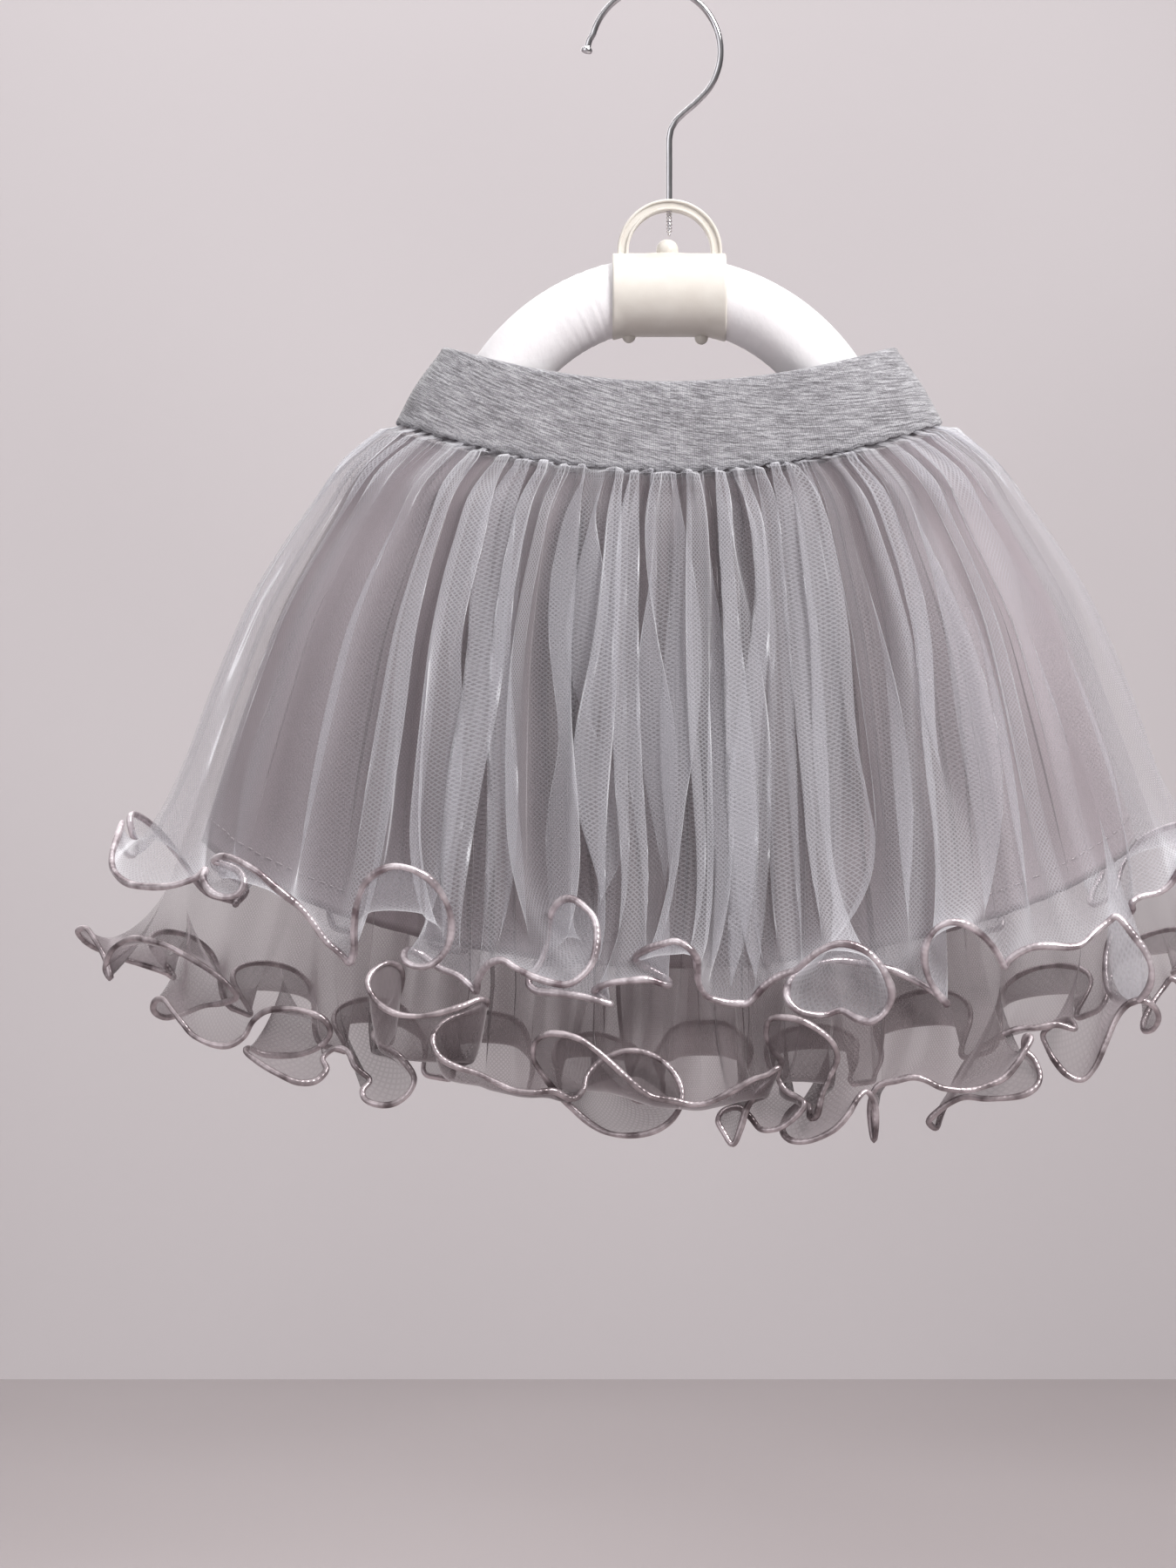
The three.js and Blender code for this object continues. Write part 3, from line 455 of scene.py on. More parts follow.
def skirt_section(share, drop):
    """X and Y of the mean surface at a share of the way round and a drop."""
    share, drop = np.broadcast_arrays(share, drop)
    level = LEVELS * (np.clip(drop, 0, LOWEST_DROP) / LOWEST_DROP) ** (1 / LEVEL_POWER)
    k = np.minimum(level.astype(int), LEVELS - 1)
    t = (drop - LATTICE_DROPS[k]) / (LATTICE_DROPS[k + 1] - LATTICE_DROPS[k])
    i, u = place_round(share)
    found = []
    for lattice in (LATTICE_X, LATTICE_Y):
        high = lattice[k, i] * (1 - u) + lattice[k, i + 1] * u
        low = lattice[k + 1, i] * (1 - u) + lattice[k + 1, i + 1] * u
        found.append(high + t * (low - high))
    return found


def ring_share(cloth, drop):
    """Where a strip of cloth lies round the ring: uneven, and spread to the sides lower down."""
    turn = 2 * math.pi * cloth
    share = cloth + 0.0035 * np.sin(3 * turn + 0.7) + 0.0022 * np.sin(7 * turn + 2.1)
    spread = SPREAD * np.clip(drop, 0, 1) ** 0.8
    return share - spread * np.sin(4 * math.pi * share) / (4 * math.pi)


def strips_of(cloth):
    """The heights and lengths that belong to each strip of cloth."""
    waist_x, _ = skirt_section(ring_share(cloth, 0.0), np.zeros_like(cloth))
    i, u = place_round(ring_share(cloth, 1.0))
    hem_x = HEM_X[i] * (1 - u) + HEM_X[i + 1] * u
    waist_middle = 1 - np.minimum(1, np.abs(waist_x) / BAND["bottom_half_width"]) ** 2
    hem_middle = 1 - np.minimum(1, np.abs(hem_x) / HEM["half_width"]) ** 2.6

    def between(size):
        return size["side"] + (size["middle"] - size["side"]) * hem_middle

    strips = {name: between(size) for name, size in LENGTHS.items()}
    strips["reach"] = {name: between(size) for name, size in REACHES.items()}
    strips["cloth"] = cloth
    strips["seam_z"] = BAND["bottom_z"] - BAND["bottom_sag"] * waist_middle
    return strips


def unit(v):
    return v / np.maximum(np.linalg.norm(v, axis=-1, keepdims=True), 1e-9)


def mean_point(strips, turned, below):
    drop = below / strips["outer"][:, None]
    x, y = skirt_section(ring_share(strips["cloth"][:, None], drop) + turned, drop)
    z = strips["seam_z"][:, None] - SEAM_GAP - NET_TOP - below
    return np.stack([STEM_X + x, y, z], -1)


def mean_frame(strips, below):
    """The mean surface's points with the ways round, out and level out there."""
    start = np.maximum(below, 0.5)
    point = mean_point(strips, 0.0, below)
    around = unit(mean_point(strips, 0.002, start) - mean_point(strips, -0.002, start))
    down = unit(mean_point(strips, 0.0, start + 0.5) - mean_point(strips, 0.0, start - 0.5))
    out = unit(np.cross(down, around))
    away = out[..., 0] * (point[..., 0] - STEM_X) + out[..., 1] * point[..., 1]
    out = out * np.where(away < 0, -1.0, 1.0)[..., None]
    return point, around, out, unit(out * np.array([1, 1, 0.0]))


def fold_phase(cloth, drop, count, offset):
    """The folds' phase: crests lie at whole turns, unevenly spaced, and wander on the way down."""
    phase = 2 * math.pi * count * cloth + offset
    for wave in FOLD_WAVES:
        turn = 2 * math.pi * wave["times"] * cloth
        phase = phase + wave["size"] * np.sin(turn + wave["start"] + offset + wave["wander"] * drop)
    return phase


def sideness(cloth, drop):
    """0 over the front and back, up to 1 at the skirt's two sides."""
    across = np.abs(np.sin(2 * math.pi * ring_share(cloth, drop)))
    return smooth_step((across - SIDES["begin"]) / SIDES["width"]) * smooth_step(drop / SIDES["drop"])


def uneven(waves, cloth, drop, offset):
    """An uneven size of the folds round the skirt."""
    size = UNEVEN_MEAN
    for values in waves:
        wave = dict(zip(UNEVEN_COLUMNS, values))
        start = wave["start"] + wave["wander"] * drop + wave["own"] * offset
        size = size + wave["size"] * np.sin(2 * math.pi * wave["times"] * cloth + start)
    return size


def bunching(layer, cloth, drop):
    """How densely the cloth is bunched: more on the crests of the folds, and set apart in the skirt's middle,
    where it paints shade: a denser dark under net and a less pale outer net.
    """
    crests = 0
    for row in FOLD_SETS:
        if row["name"] in BUNCHES:
            phase = fold_phase(cloth, drop, row["count"], row["start"] + LAYER_STARTS[layer])
            crests = crests + BUNCHES[row["name"]] * (0.5 + 0.5 * np.cos(phase)) ** BUNCH_SHARPNESS
    middle = 1 - np.abs(np.sin(2 * math.pi * ring_share(cloth, drop))) ** 2
    sides, more = MIDDLE_DENSITY_AND_SHADE[layer]
    crests = crests * (1 - SIDE_LOSS * sideness(cloth, drop)) * BUNCH_SHARES[layer]
    return (LEAST_DENSITY + crests) * (sides + more * middle)


def fold_shift(layer, cloth, drop):
    """How far the folds move the cloth out and sideways."""
    ring = np.interp(drop, LATTICE_DROPS, RING_LENGTHS)
    out, aside = np.zeros(drop.shape), np.zeros(drop.shape)
    for row in FOLD_SETS:
        offset = row["start"] + LAYER_STARTS[layer]
        phase = fold_phase(cloth, drop, row["count"], offset)
        share = smooth_value(FOLD_SHARES, row["name"], drop) * LAYER_SHARES[layer]
        share = share * (1 - row["calm"] * sideness(cloth, drop))
        high = uneven(UNEVEN_HEIGHT, cloth, drop, offset)
        wide = uneven(UNEVEN_FLANKS, cloth, drop, offset)
        out += share * row["depth"] * high * (np.cos(phase) - CREST_ROUNDING * np.cos(3 * phase))
        aside += share * row["turn"] * wide * ring / row["count"] * np.sin(2 * phase)
    puff = np.exp(-((drop / PUFF["drop"] - 1) ** 2)) * LAYER_SHARES[layer]
    puff = puff * PUFF["out"] * (PUFF["least"] + pucker(cloth, drop)) * shoulder(cloth)
    return out + puff, aside


def shoulder(cloth):
    """The puff is lower at the skirt's two sides, where the waistband pulls the seam straight."""
    across = np.abs(np.sin(2 * math.pi * ring_share(cloth, 0.0)))
    return 1 - PUFF_SIDES["loss"] * across ** PUFF_SIDES["power"]


def pucker(cloth, drop):
    """The puckers along the seam, from 0 between them to about 1 on top of them."""
    small = PUCKERS["small"] * np.cos(fold_phase(cloth, drop, PUCKERS["small_count"], 0.5))
    return PUCKERS["mean"] + small + PUCKERS["wide"] * np.sin(2 * math.pi * PUCKERS["wide_count"] * cloth)


def curl_shift(layer, strips, share):
    """How far the curls of a hem move the cloth out, up and round at a share of the strip's height."""
    along = HEM_LENGTH * ring_share(strips["cloth"], 1.0)
    share = np.clip(share, 0, None)
    out, lift, around = (np.zeros(share.shape) for _ in range(3))
    for values in CURLS[layer]:
        row = dict(zip(CURL_COLUMNS, values))
        apart = along - row["along"]
        apart = apart - HEM_LENGTH * np.round(apart / HEM_LENGTH)
        v = np.clip(apart / row["half"], -1, 1)[:, None]
        hump = np.cos(math.pi * v / 2) ** 2
        out += row["out"] * hump * share**2
        lift += row["lift"] * hump ** row["peak"] * share**RISE_POWER
        around += (CURL_ROUND * row["curl"] * np.sin(math.pi * v) + row["lean"]) * hump * share**2
    return out, lift, around


def curve_through(points, steps):
    """A smooth curve through points, with a number of steps from each to the next."""
    points = np.array(points, float)
    before = np.concatenate([2 * points[:1] - points[1:2], points[:-2]])
    after = np.concatenate([points[2:], 2 * points[-1:] - points[-2:-1]])
    t = (np.arange(steps) / steps)[None, :, None]
    p0, p1, p2, p3 = (p[:, None] for p in (before, points[:-1], points[1:], after))
    curve = p1 + 0.5 * t * (
        p2 - p0 + t * (2 * p0 - 5 * p1 + 4 * p2 - p3 + t * (3 * (p1 - p2) + p3 - p0))
    )
    return np.concatenate([curve.reshape(-1, points.shape[1]), points[-1:]])


def front_hem(layer):
    """The front hem as one curve: the cloth's place along the ring, and the curve's points."""
    points, counts = [], []
    for _, _, _, stretch in FRONT_HEMS[layer]:
        points += stretch
        counts.append(len(stretch))
    curve = curve_through(points, FRONT_STEPS)
    lengths = np.concatenate([[0], np.cumsum(np.linalg.norm(np.diff(curve, axis=0), axis=1))])
    joins = np.cumsum(counts)[:-1] * FRONT_STEPS - FRONT_STEPS // 2
    marks = np.concatenate([[0], lengths[joins], [lengths[-1]]])
    places = [FRONT_HEMS[layer][0][0]] + [row[1] for row in FRONT_HEMS[layer]]
    along = np.interp(lengths, marks, places)
    even = np.linspace(0, lengths[-1], FRONT_POINTS)
    even_along = np.interp(even, lengths, along)
    window = np.ones(FRONT_AVERAGE) / FRONT_AVERAGE
    padded = np.pad(even_along, FRONT_AVERAGE // 2, mode="reflect", reflect_type="odd")
    even_along = np.convolve(padded, window, "valid")
    return even_along, np.stack([np.interp(even, lengths, curve[:, k]) for k in range(3)], -1)


FRONT_CURVES = {layer: front_hem(layer) for layer in FRONT_HEMS}


def signed_along(strips):
    """Each strip's place along the hem ring, with 0 at the front's middle."""
    along = HEM_LENGTH * ring_share(strips["cloth"], 1.0)
    return along - HEM_LENGTH * np.round(along / HEM_LENGTH)


def front_target(layer, strips, ring_points):
    """Where the front hem's strips end, and how much that place counts for each strip."""
    along = signed_along(strips)
    places, curve = FRONT_CURVES[layer]
    x, z, near = (np.interp(along, places, curve[:, k]) for k in range(3))
    y = ring_points[:, 1] - near
    camera_x, camera_y, camera_z = (1000 * c for c in CAMERA_PLACE)
    away = (y - camera_y) / -camera_y
    seen = np.stack([camera_x + (x - camera_x) * away, y, camera_z + (z - camera_z) * away], -1)
    inside = np.minimum(along - places[0], places[-1] - along)
    return seen, smooth_step(inside / FRONT_BLEND)


def smooth_step(t):
    t = np.clip(t, 0, 1)
    return t * t * (3 - 2 * t)


def flute_shift(layer, strips, drop):
    """The flutes that run up the skirt from each curl."""
    along = HEM_LENGTH * ring_share(strips["cloth"], 1.0)
    rise = np.clip((drop - FLUTES["drop"]) / (1 - FLUTES["drop"]), 0, 1) ** 2
    out = np.zeros(drop.shape)
    for values in CURLS[layer]:
        row = dict(zip(CURL_COLUMNS, values))
        apart = along - row["along"]
        apart = apart - HEM_LENGTH * np.round(apart / HEM_LENGTH)
        v = np.clip(apart / (FLUTES["wide"] * row["half"]), -1, 1)[:, None]
        out += FLUTES["share"] * row["out"] * np.cos(math.pi * v / 2) ** 2 * rise
    return out


def hem_shift(layer, strips, below, point, around, level):
    """How far the curled hem moves each point: traced at the front, and by the curls' table behind."""
    reach = strips["reach"][layer][:, None]
    share = np.clip((below - strips[layer][:, None] + reach) / reach, 0, None)
    curl_out, up, curl_round = curl_shift(layer, strips, share)
    drop = below / strips["outer"][:, None]
    curl_out = curl_out + flute_shift(layer, strips, drop)
    behind = level * curl_out[..., None] + around * curl_round[..., None]
    behind[..., 2] += up
    ring = mean_point(strips, 0.0, strips[layer][:, None])[:, 0]
    target, front = front_target(layer, strips, ring)
    apart = (target - ring)[:, None, :]
    height = apart[..., 2] * np.where(apart[..., 2] > 0, share**RISE_POWER, share**FALL_POWER)
    ahead = np.concatenate([apart[..., :2] * (share**2)[..., None], height[..., None]], -1)
    own = (point - mean_point(strips, 0.0, below)) * (share**4)[..., None]
    front = front[:, None, None]
    return behind * (1 - front) + (ahead - own) * front


def layer_points(layer, strips, below):
    """Points of one layer of the skirt, at lengths below the seam for each strip."""
    cloth = strips["cloth"][:, None]
    drop = below / strips["outer"][:, None]
    point, around, out, level = mean_frame(strips, below)
    fold_out, aside = fold_shift(layer, cloth, drop)
    point = point - out * smooth_value(INSET, layer, drop)[..., None]
    held = np.clip(1 + below / TUCK, 0, 1)[..., None]
    point = point + (level * fold_out[..., None] + around * aside[..., None]) * held
    if layer == "outer":
        rise = np.exp(-(((below - PUFF_RISE["at"]) / PUFF_RISE["reach"]) ** 2))
        point[..., 2] += PUFF_RISE["height"] * rise * pucker(cloth, drop) * shoulder(cloth)
    if layer in CURLS:
        point = point + hem_shift(layer, strips, below, point, around, level)
    return point, level


def mesh_object(name, points, quads, uvs=None, material=None, smooth=True):
    """A mesh from points in millimetres and four-cornered faces, with UVs in metres of cloth."""
    mesh = bpy.data.meshes.new(name)
    mesh.vertices.add(len(points))
    mesh.vertices.foreach_set("co", (np.asarray(points, np.float64) * METRES).astype(np.float32).ravel())
    mesh.loops.add(quads.size)
    mesh.loops.foreach_set("vertex_index", quads.astype(np.int32).ravel())
    mesh.polygons.add(len(quads))
    mesh.polygons.foreach_set("loop_start", np.arange(0, quads.size, 4, dtype=np.int32))
    mesh.polygons.foreach_set("loop_total", np.full(len(quads), 4, np.int32))
    mesh.update(calc_edges=True)
    mesh.validate()
    if smooth:
        mesh.polygons.foreach_set("use_smooth", np.ones(len(mesh.polygons), bool))
    if uvs is not None:
        layer = mesh.uv_layers.new(name="cloth")
        layer.data.foreach_set("uv", uvs.astype(np.float32).ravel())
    if material is not None:
        mesh.materials.append(material)
    piece = bpy.data.objects.new(name, mesh)
    SCENE.collection.objects.link(piece)
    return piece


def grid_object(name, points, u, v, material, closed_down=False):
    """A mesh on a grid of columns and rows, closed round the columns. U and v are places in metres."""
    columns, rows = points.shape[:2]
    i, j = np.meshgrid(np.arange(columns), np.arange(rows if closed_down else rows - 1), indexing="ij")
    i, j = i.ravel(), j.ravel()
    i2, j2 = (i + 1) % columns, (j + 1) % rows
    quads = np.stack([i * rows + j, i * rows + j2, i2 * rows + j2, i2 * rows + j], -1)
    corners_u = np.stack([u[i], u[i], u[i + 1], u[i + 1]], -1)
    v = v if v.ndim == 2 else np.tile(v, (columns, 1))
    corners_v = np.stack([v[i, j], v[i, j + 1], v[i2, j + 1], v[i2, j]], -1)
    uvs = np.stack([corners_u, corners_v], -1)
    return mesh_object(name, points.reshape(-1, 3), quads, uvs, material)


def set_attribute(piece, name, values):
    attribute = piece.data.attributes.new(name, "FLOAT", "POINT")
    attribute.data.foreach_set("value", np.asarray(values, np.float32).ravel())


def grid_normals(points):
    across = np.roll(points, -1, 0) - np.roll(points, 1, 0)
    return unit(np.cross(np.gradient(points, axis=1), across))


class Shader:
    """A node tree that is built one named node at a time."""

    def __init__(self, name):
        self.material = bpy.data.materials.new(name)
        self.material.use_nodes = True
        self.tree = self.material.node_tree
        self.tree.nodes.clear()
        self.output = self.tree.nodes.new("ShaderNodeOutputMaterial")

    def node(self, kind, inputs=None, **settings):
        made = self.tree.nodes.new("ShaderNode" + kind)
        for key, value in settings.items():
            setattr(made, key, value)
        for key, value in (inputs or {}).items():
            self.feed(made, key, value)
        return made

    def feed(self, node, key, value):
        socket = node.inputs[key]
        if isinstance(value, bpy.types.NodeSocket):
            self.tree.links.new(value, socket)
        else:
            socket.default_value = value

    def maths(self, operation, *values, clamp=False):
        inputs = dict(enumerate(values))
        return self.node("Math", inputs, operation=operation, use_clamp=clamp).outputs[0]

    def noise(self, vector, scale, detail=3, roughness=0.55):
        inputs = {"Vector": vector, "Scale": scale, "Detail": detail, "Roughness": roughness}
        return self.node("TexNoise", inputs).outputs["Fac"]

    def ramp(self, value, *stops):
        """A colour ramp. Each stop is a place and a grey level or a colour."""
        made = self.node("ValToRGB", {"Fac": value})
        ramp = made.color_ramp
        while len(ramp.elements) < len(stops):
            ramp.elements.new(0.5)
        for element, (place, colour) in zip(ramp.elements, stops):
            element.position = place
            element.color = (colour, colour, colour, 1) if isinstance(colour, (int, float)) else (*colour, 1)
        return made.outputs["Color"]

    def stretched(self, output, scale):
        return self.node("Mapping", {"Vector": output, "Scale": scale}).outputs["Vector"]

    def places(self, kind="Object"):
        return self.node("TexCoord").outputs[kind]

    def bump(self, height, strength, distance):
        inputs = {"Height": height, "Strength": strength, "Distance": distance}
        return self.node("Bump", inputs).outputs["Normal"]

    def principled(self, **inputs):
        names = {key.replace("_", " "): value for key, value in inputs.items()}
        return self.node("BsdfPrincipled", names).outputs["BSDF"]

    def finish(self, surface):
        self.tree.links.new(surface, self.output.inputs["Surface"])
        return self.material


def threads(shader, uv):
    """Crossed slanting threads: 1 on a thread and 0 in the gaps between them."""
    split = shader.node("SeparateXYZ", {"Vector": uv})
    across, down = split.outputs["X"], split.outputs["Y"]
    turns = 2 * math.pi / MESH_PITCH
    waves = []
    for sign in (1, -1):
        slanted = shader.maths("MULTIPLY_ADD", down, sign * MESH_SLANT, across)
        wave = shader.maths("COSINE", shader.maths("MULTIPLY", slanted, turns))
        waves.append(wave)
    most = shader.maths("MAXIMUM", *waves)
    return shader.maths("MULTIPLY_ADD", most, 0.75, 0.25, clamp=True)


def net_material(name, cover, thread_cover, face, fold):
    """Fine diagonal net: clear between its threads, and closer to solid where a fold turns away. Its colour
    runs from the face colour to a paler fold colour with the highlight share: painted highlight on turned
    fold flanks and bunched crests.
    """
    shader = Shader(name)
    uv = shader.places("UV")
    rolled = shader.node("Attribute", attribute_name="rolled").outputs["Fac"]
    open_net = threads(shader, uv)
    calmer = shader.maths("MULTIPLY", rolled, 0.75)
    thread = shader.maths("MULTIPLY_ADD", shader.maths("SUBTRACT", 0.45, open_net), calmer, open_net)
    cloud = shader.noise(shader.stretched(uv, (60, 8, 1)), 1.0)
    cover_here = shader.maths("MULTIPLY_ADD", thread, thread_cover, cover)
    cover_here = shader.maths("MULTIPLY_ADD", cloud, 0.12, cover_here)
    clear = shader.maths("SUBTRACT", 1.06, cover_here, clamp=True)
    edge = shader.node("Attribute", attribute_name="edge").outputs["Fac"]
    alpha = shader.maths("SUBTRACT", 1.0, shader.maths("POWER", clear, edge), clamp=True)
    # Painted highlight: the highlight share turns the colour from the face colour to the paler fold colour on
    # turned flanks and bunched crests
    highlight_share = shader.node("Attribute", attribute_name="highlight_share").outputs["Fac"]
    patches = shader.maths("MULTIPLY_ADD", cloud, 0.3, -0.4)
    turned = shader.maths("MULTIPLY_ADD", highlight_share, 0.25, patches, clamp=True)
    shade = shader.ramp(turned, (0.0, face), (1.0, fold))
    normal = shader.bump(thread, 0.35, 0.0004)
    cloth = shader.principled(
        Base_Color=shade, Roughness=0.6, Sheen_Weight=0.9, Sheen_Roughness=0.35, Normal=normal
    )
    through = shader.node("BsdfTranslucent", {"Color": shade, "Normal": normal}).outputs[0]
    lit = shader.node("MixShader", {0: 0.35, 1: cloth, 2: through}).outputs[0]
    hole = shader.node("BsdfTransparent").outputs[0]
    return shader.finish(shader.node("MixShader", {0: alpha, 1: hole, 2: lit}).outputs[0])


def satin_material(name, dark, pale):
    """Satin of the rolled hem, twisted round its cord. Its colour patches run from the dark colour to the
    pale one: painted shade and painted highlight along the cord.
    """
    shader = Shader(name)
    uv = shader.places("UV")
    twist = shader.node("SeparateXYZ", {"Vector": uv})
    slanted = shader.maths("MULTIPLY_ADD", twist.outputs["Y"], 0.35, twist.outputs["X"])
    ridges = shader.maths("SINE", shader.maths("MULTIPLY", slanted, 2 * math.pi / 0.0021))
    patch = shader.noise(shader.stretched(uv, (90, 30, 1)), 1.0)
    # Painted shade and painted highlight: patches from the dark colour to the pale one
    colour = shader.ramp(patch, (0.36, dark), (0.6, pale))
    height = shader.maths("MULTIPLY_ADD", patch, 1.5, ridges)
    normal = shader.bump(height, 0.14, 0.0003)
    rough = shader.maths("MULTIPLY_ADD", patch, 0.25, 0.2)
    return shader.finish(
        shader.principled(
            Base_Color=colour, Metallic=0.6, Roughness=rough, Specular_IOR_Level=0.8, Normal=normal
        )
    )


def lining_material():
    """Plain woven lining with a soft shine and faint creases."""
    shader = Shader("lining_cloth")
    uv = shader.places("UV")
    cloud = shader.noise(shader.stretched(uv, (26, 9, 1)), 1.0, 4)
    grain = shader.noise(shader.stretched(uv, (2600, 900, 1)), 1.0, 1)
    colour = shader.ramp(cloud, (0.3, (0.31, 0.262, 0.28)), (0.7, (0.41, 0.35, 0.375)))
    height = shader.maths("MULTIPLY_ADD", grain, 0.25, cloud)
    normal = shader.bump(height, 0.3, 0.0015)
    return shader.finish(
        shader.principled(Base_Color=colour, Roughness=0.55, Sheen_Weight=0.35, Normal=normal)
    )


def jersey_material():
    """Heather jersey: pale and dark fibres in short near-level streaks over a fine rib."""
    shader = Shader("heather_jersey")
    flat = shader.node("SeparateXYZ", {"Vector": shader.places("UV")})
    slanted = shader.maths("MULTIPLY_ADD", flat.outputs["X"], 0.16, flat.outputs["Y"])
    uv = shader.node("CombineXYZ", {"X": flat.outputs["X"], "Y": slanted}).outputs[0]
    streak = shader.noise(shader.stretched(uv, (105, 1300, 1)), 1.0, 3, 0.65)
    fine = shader.noise(shader.stretched(uv, (700, 4000, 1)), 1.0, 2, 0.6)
    broad = shader.noise(shader.stretched(uv, (40, 90, 1)), 1.0, 2)
    mix = shader.maths("MULTIPLY_ADD", fine, 0.4, shader.maths("MULTIPLY", streak, 0.6))
    mix = shader.maths("MULTIPLY_ADD", broad, 0.1, shader.maths("SUBTRACT", mix, 0.05))
    colour = shader.ramp(
        mix, (0.385, (0.11, 0.105, 0.115)), (0.49, (0.262, 0.257, 0.275)), (0.61, (0.505, 0.50, 0.525))
    )
    split = shader.node("SeparateXYZ", {"Vector": uv})
    wales = shader.maths("SINE", shader.maths("MULTIPLY", split.outputs["X"], 2 * math.pi / 0.0009))
    height = shader.maths("MULTIPLY_ADD", wales, 0.2, shader.maths("ADD", fine, streak))
    normal = shader.bump(height, 0.45, 0.0007)
    return shader.finish(
        shader.principled(Base_Color=colour, Roughness=0.85, Sheen_Weight=0.5, Normal=normal)
    )


def padding_material():
    """White foam sleeve of the hanger, with a soft skin and faint crinkles."""
    shader = Shader("white_padding")
    place = shader.places()
    crinkle = shader.noise(shader.stretched(place, (420, 90, 260)), 1.0, 3)
    cloud = shader.noise(place, 60.0, 2)
    colour = shader.ramp(cloud, (0.3, (0.80, 0.775, 0.79)), (0.7, (0.86, 0.845, 0.86)))
    normal = shader.bump(crinkle, 0.12, 0.0012)
    return shader.finish(shader.principled(Base_Color=colour, Roughness=0.42, Normal=normal))


def plastic_material():
    """Cream moulded plastic."""
    shader = Shader("cream_plastic")
    place = shader.places()
    cloud = shader.noise(place, 90.0, 2)
    fine = shader.noise(place, 1400.0, 1)
    colour = shader.ramp(cloud, (0.3, (0.67, 0.63, 0.575)), (0.7, (0.73, 0.698, 0.645)))
    rough = shader.maths("MULTIPLY_ADD", cloud, 0.12, 0.28)
    return shader.finish(
        shader.principled(Base_Color=colour, Roughness=rough, Normal=shader.bump(fine, 0.06, 0.0003))
    )


def metal_material():
    """Polished steel wire with faint drawing marks."""
    shader = Shader("polished_wire")
    place = shader.places()
    marks = shader.noise(shader.stretched(place, (900, 900, 120)), 1.0, 2)
    colour = shader.ramp(marks, (0.3, (0.55, 0.54, 0.56)), (0.7, (0.74, 0.73, 0.75)))
    rough = shader.maths("MULTIPLY_ADD", marks, 0.1, 0.06)
    normal = shader.bump(marks, 0.05, 0.0002)
    return shader.finish(
        shader.principled(Base_Color=colour, Metallic=1.0, Roughness=rough, Normal=normal)
    )


def net_heights(layer, strips):
    """Lengths below the seam of a net's rows, closer together at the seam and in the curls."""
    reach = strips["reach"][layer][:, None]
    top = strips[layer][:, None] - reach
    puff = np.tile(np.linspace(-TUCK, PUFF_LENGTH, PUFF_ROWS + 1)[:-1], (len(top), 1))
    rows = NET_ROWS - PUFF_ROWS
    upper = PUFF_LENGTH + (top - PUFF_LENGTH) * (np.arange(rows) / rows)[None, :] ** ROW_POWERS["upper"]
    left = 1 - np.linspace(0, 1, CURL_ROWS)[None, :]
    lower = top + reach * (1 - left ** ROW_POWERS["lower"])
    return np.concatenate([puff, upper, lower], 1)


def hem_curve(layer, cloth):
    strips = strips_of(cloth)
    points, _ = layer_points(layer, strips, strips[layer][:, None])
    return points[:, 0]


def hem_columns(layer, count):
    """Places across the cloth, closer together where the hem curls more."""
    cloth = np.arange(HEM_SAMPLES) / HEM_SAMPLES
    edge = hem_curve(layer, cloth)
    steps = np.linalg.norm(np.roll(edge, -1, 0) - edge, axis=1)
    weight = steps / steps.sum() + 1 / len(steps)
    total = np.concatenate([[0], np.cumsum(weight)])
    return np.interp(np.arange(count) / count * total[-1], total, np.arange(len(total)) / HEM_SAMPLES)


def net_piece(layer, flat_width, material):
    """One net layer, as a single surface.

    Its edge values say how much cloth the eye looks through, its highlight share how far the colour is
    painted paler as a highlight on turned and bunched cloth, and rolled how far into the curled strip a point
    lies.
    """
    cloth = hem_columns(layer, NET_COLUMNS)
    strips = strips_of(cloth)
    below = net_heights(layer, strips)
    points, level = layer_points(layer, strips, below)
    u = np.append(cloth, cloth[0] + 1) * flat_width
    piece = grid_object(layer + "_net_cloth", points, u, below * METRES, material)
    facing = np.abs((grid_normals(points) * level).sum(-1))
    rows = np.tile(np.arange(points.shape[1]), (len(points), 1))
    rolled = np.clip((rows - NET_ROWS) / CURL_ROWS, 0, 1) ** ROLLED_POWER
    edge = 1 / np.clip(facing, 1 / EDGE_MOST["folds"], 1)
    drop = below / strips["outer"][:, None]
    front = 0.5 + 0.5 * np.cos(2 * math.pi * cloth[:, None])
    ends = HEM_DENSITY[layer]
    hem = ends["back"] + (ends["front"] - ends["back"]) * front
    dense = bunching(layer, cloth[:, None], drop) * (1 - rolled) + rolled * hem
    turned = edge + (np.minimum(edge, EDGE_MOST["hem"]) - edge) * rolled
    set_attribute(piece, "edge", turned * dense)
    # Painted highlight on turned flanks, and for the outer net also on its bunched crests and curled hem
    set_attribute(piece, "highlight_share", turned * dense ** DENSITY_HIGHLIGHT[layer])
    set_attribute(piece, "rolled", rolled)
    return piece


def carried_frames(path, start):
    """Two ways across a closed path, turned as little as possible from point to point."""
    tangent = unit(np.roll(path, -1, 0) - np.roll(path, 1, 0))
    first = unit(start - tangent[0] * np.dot(start, tangent[0]))
    sides = [first]
    for i in range(1, len(path)):
        side = sides[-1] - tangent[i] * np.dot(sides[-1], tangent[i])
        sides.append(side / np.linalg.norm(side))
    sides = np.array(sides)
    other = np.cross(tangent, sides)
    back = sides[-1] - tangent[0] * np.dot(sides[-1], tangent[0])
    gap = math.atan2(np.dot(back, other[0]), np.dot(back, sides[0]))
    turn = -gap * (np.arange(len(path)) / len(path))[:, None]
    return sides * np.cos(turn) + other * np.sin(turn), other * np.cos(turn) - sides * np.sin(turn)


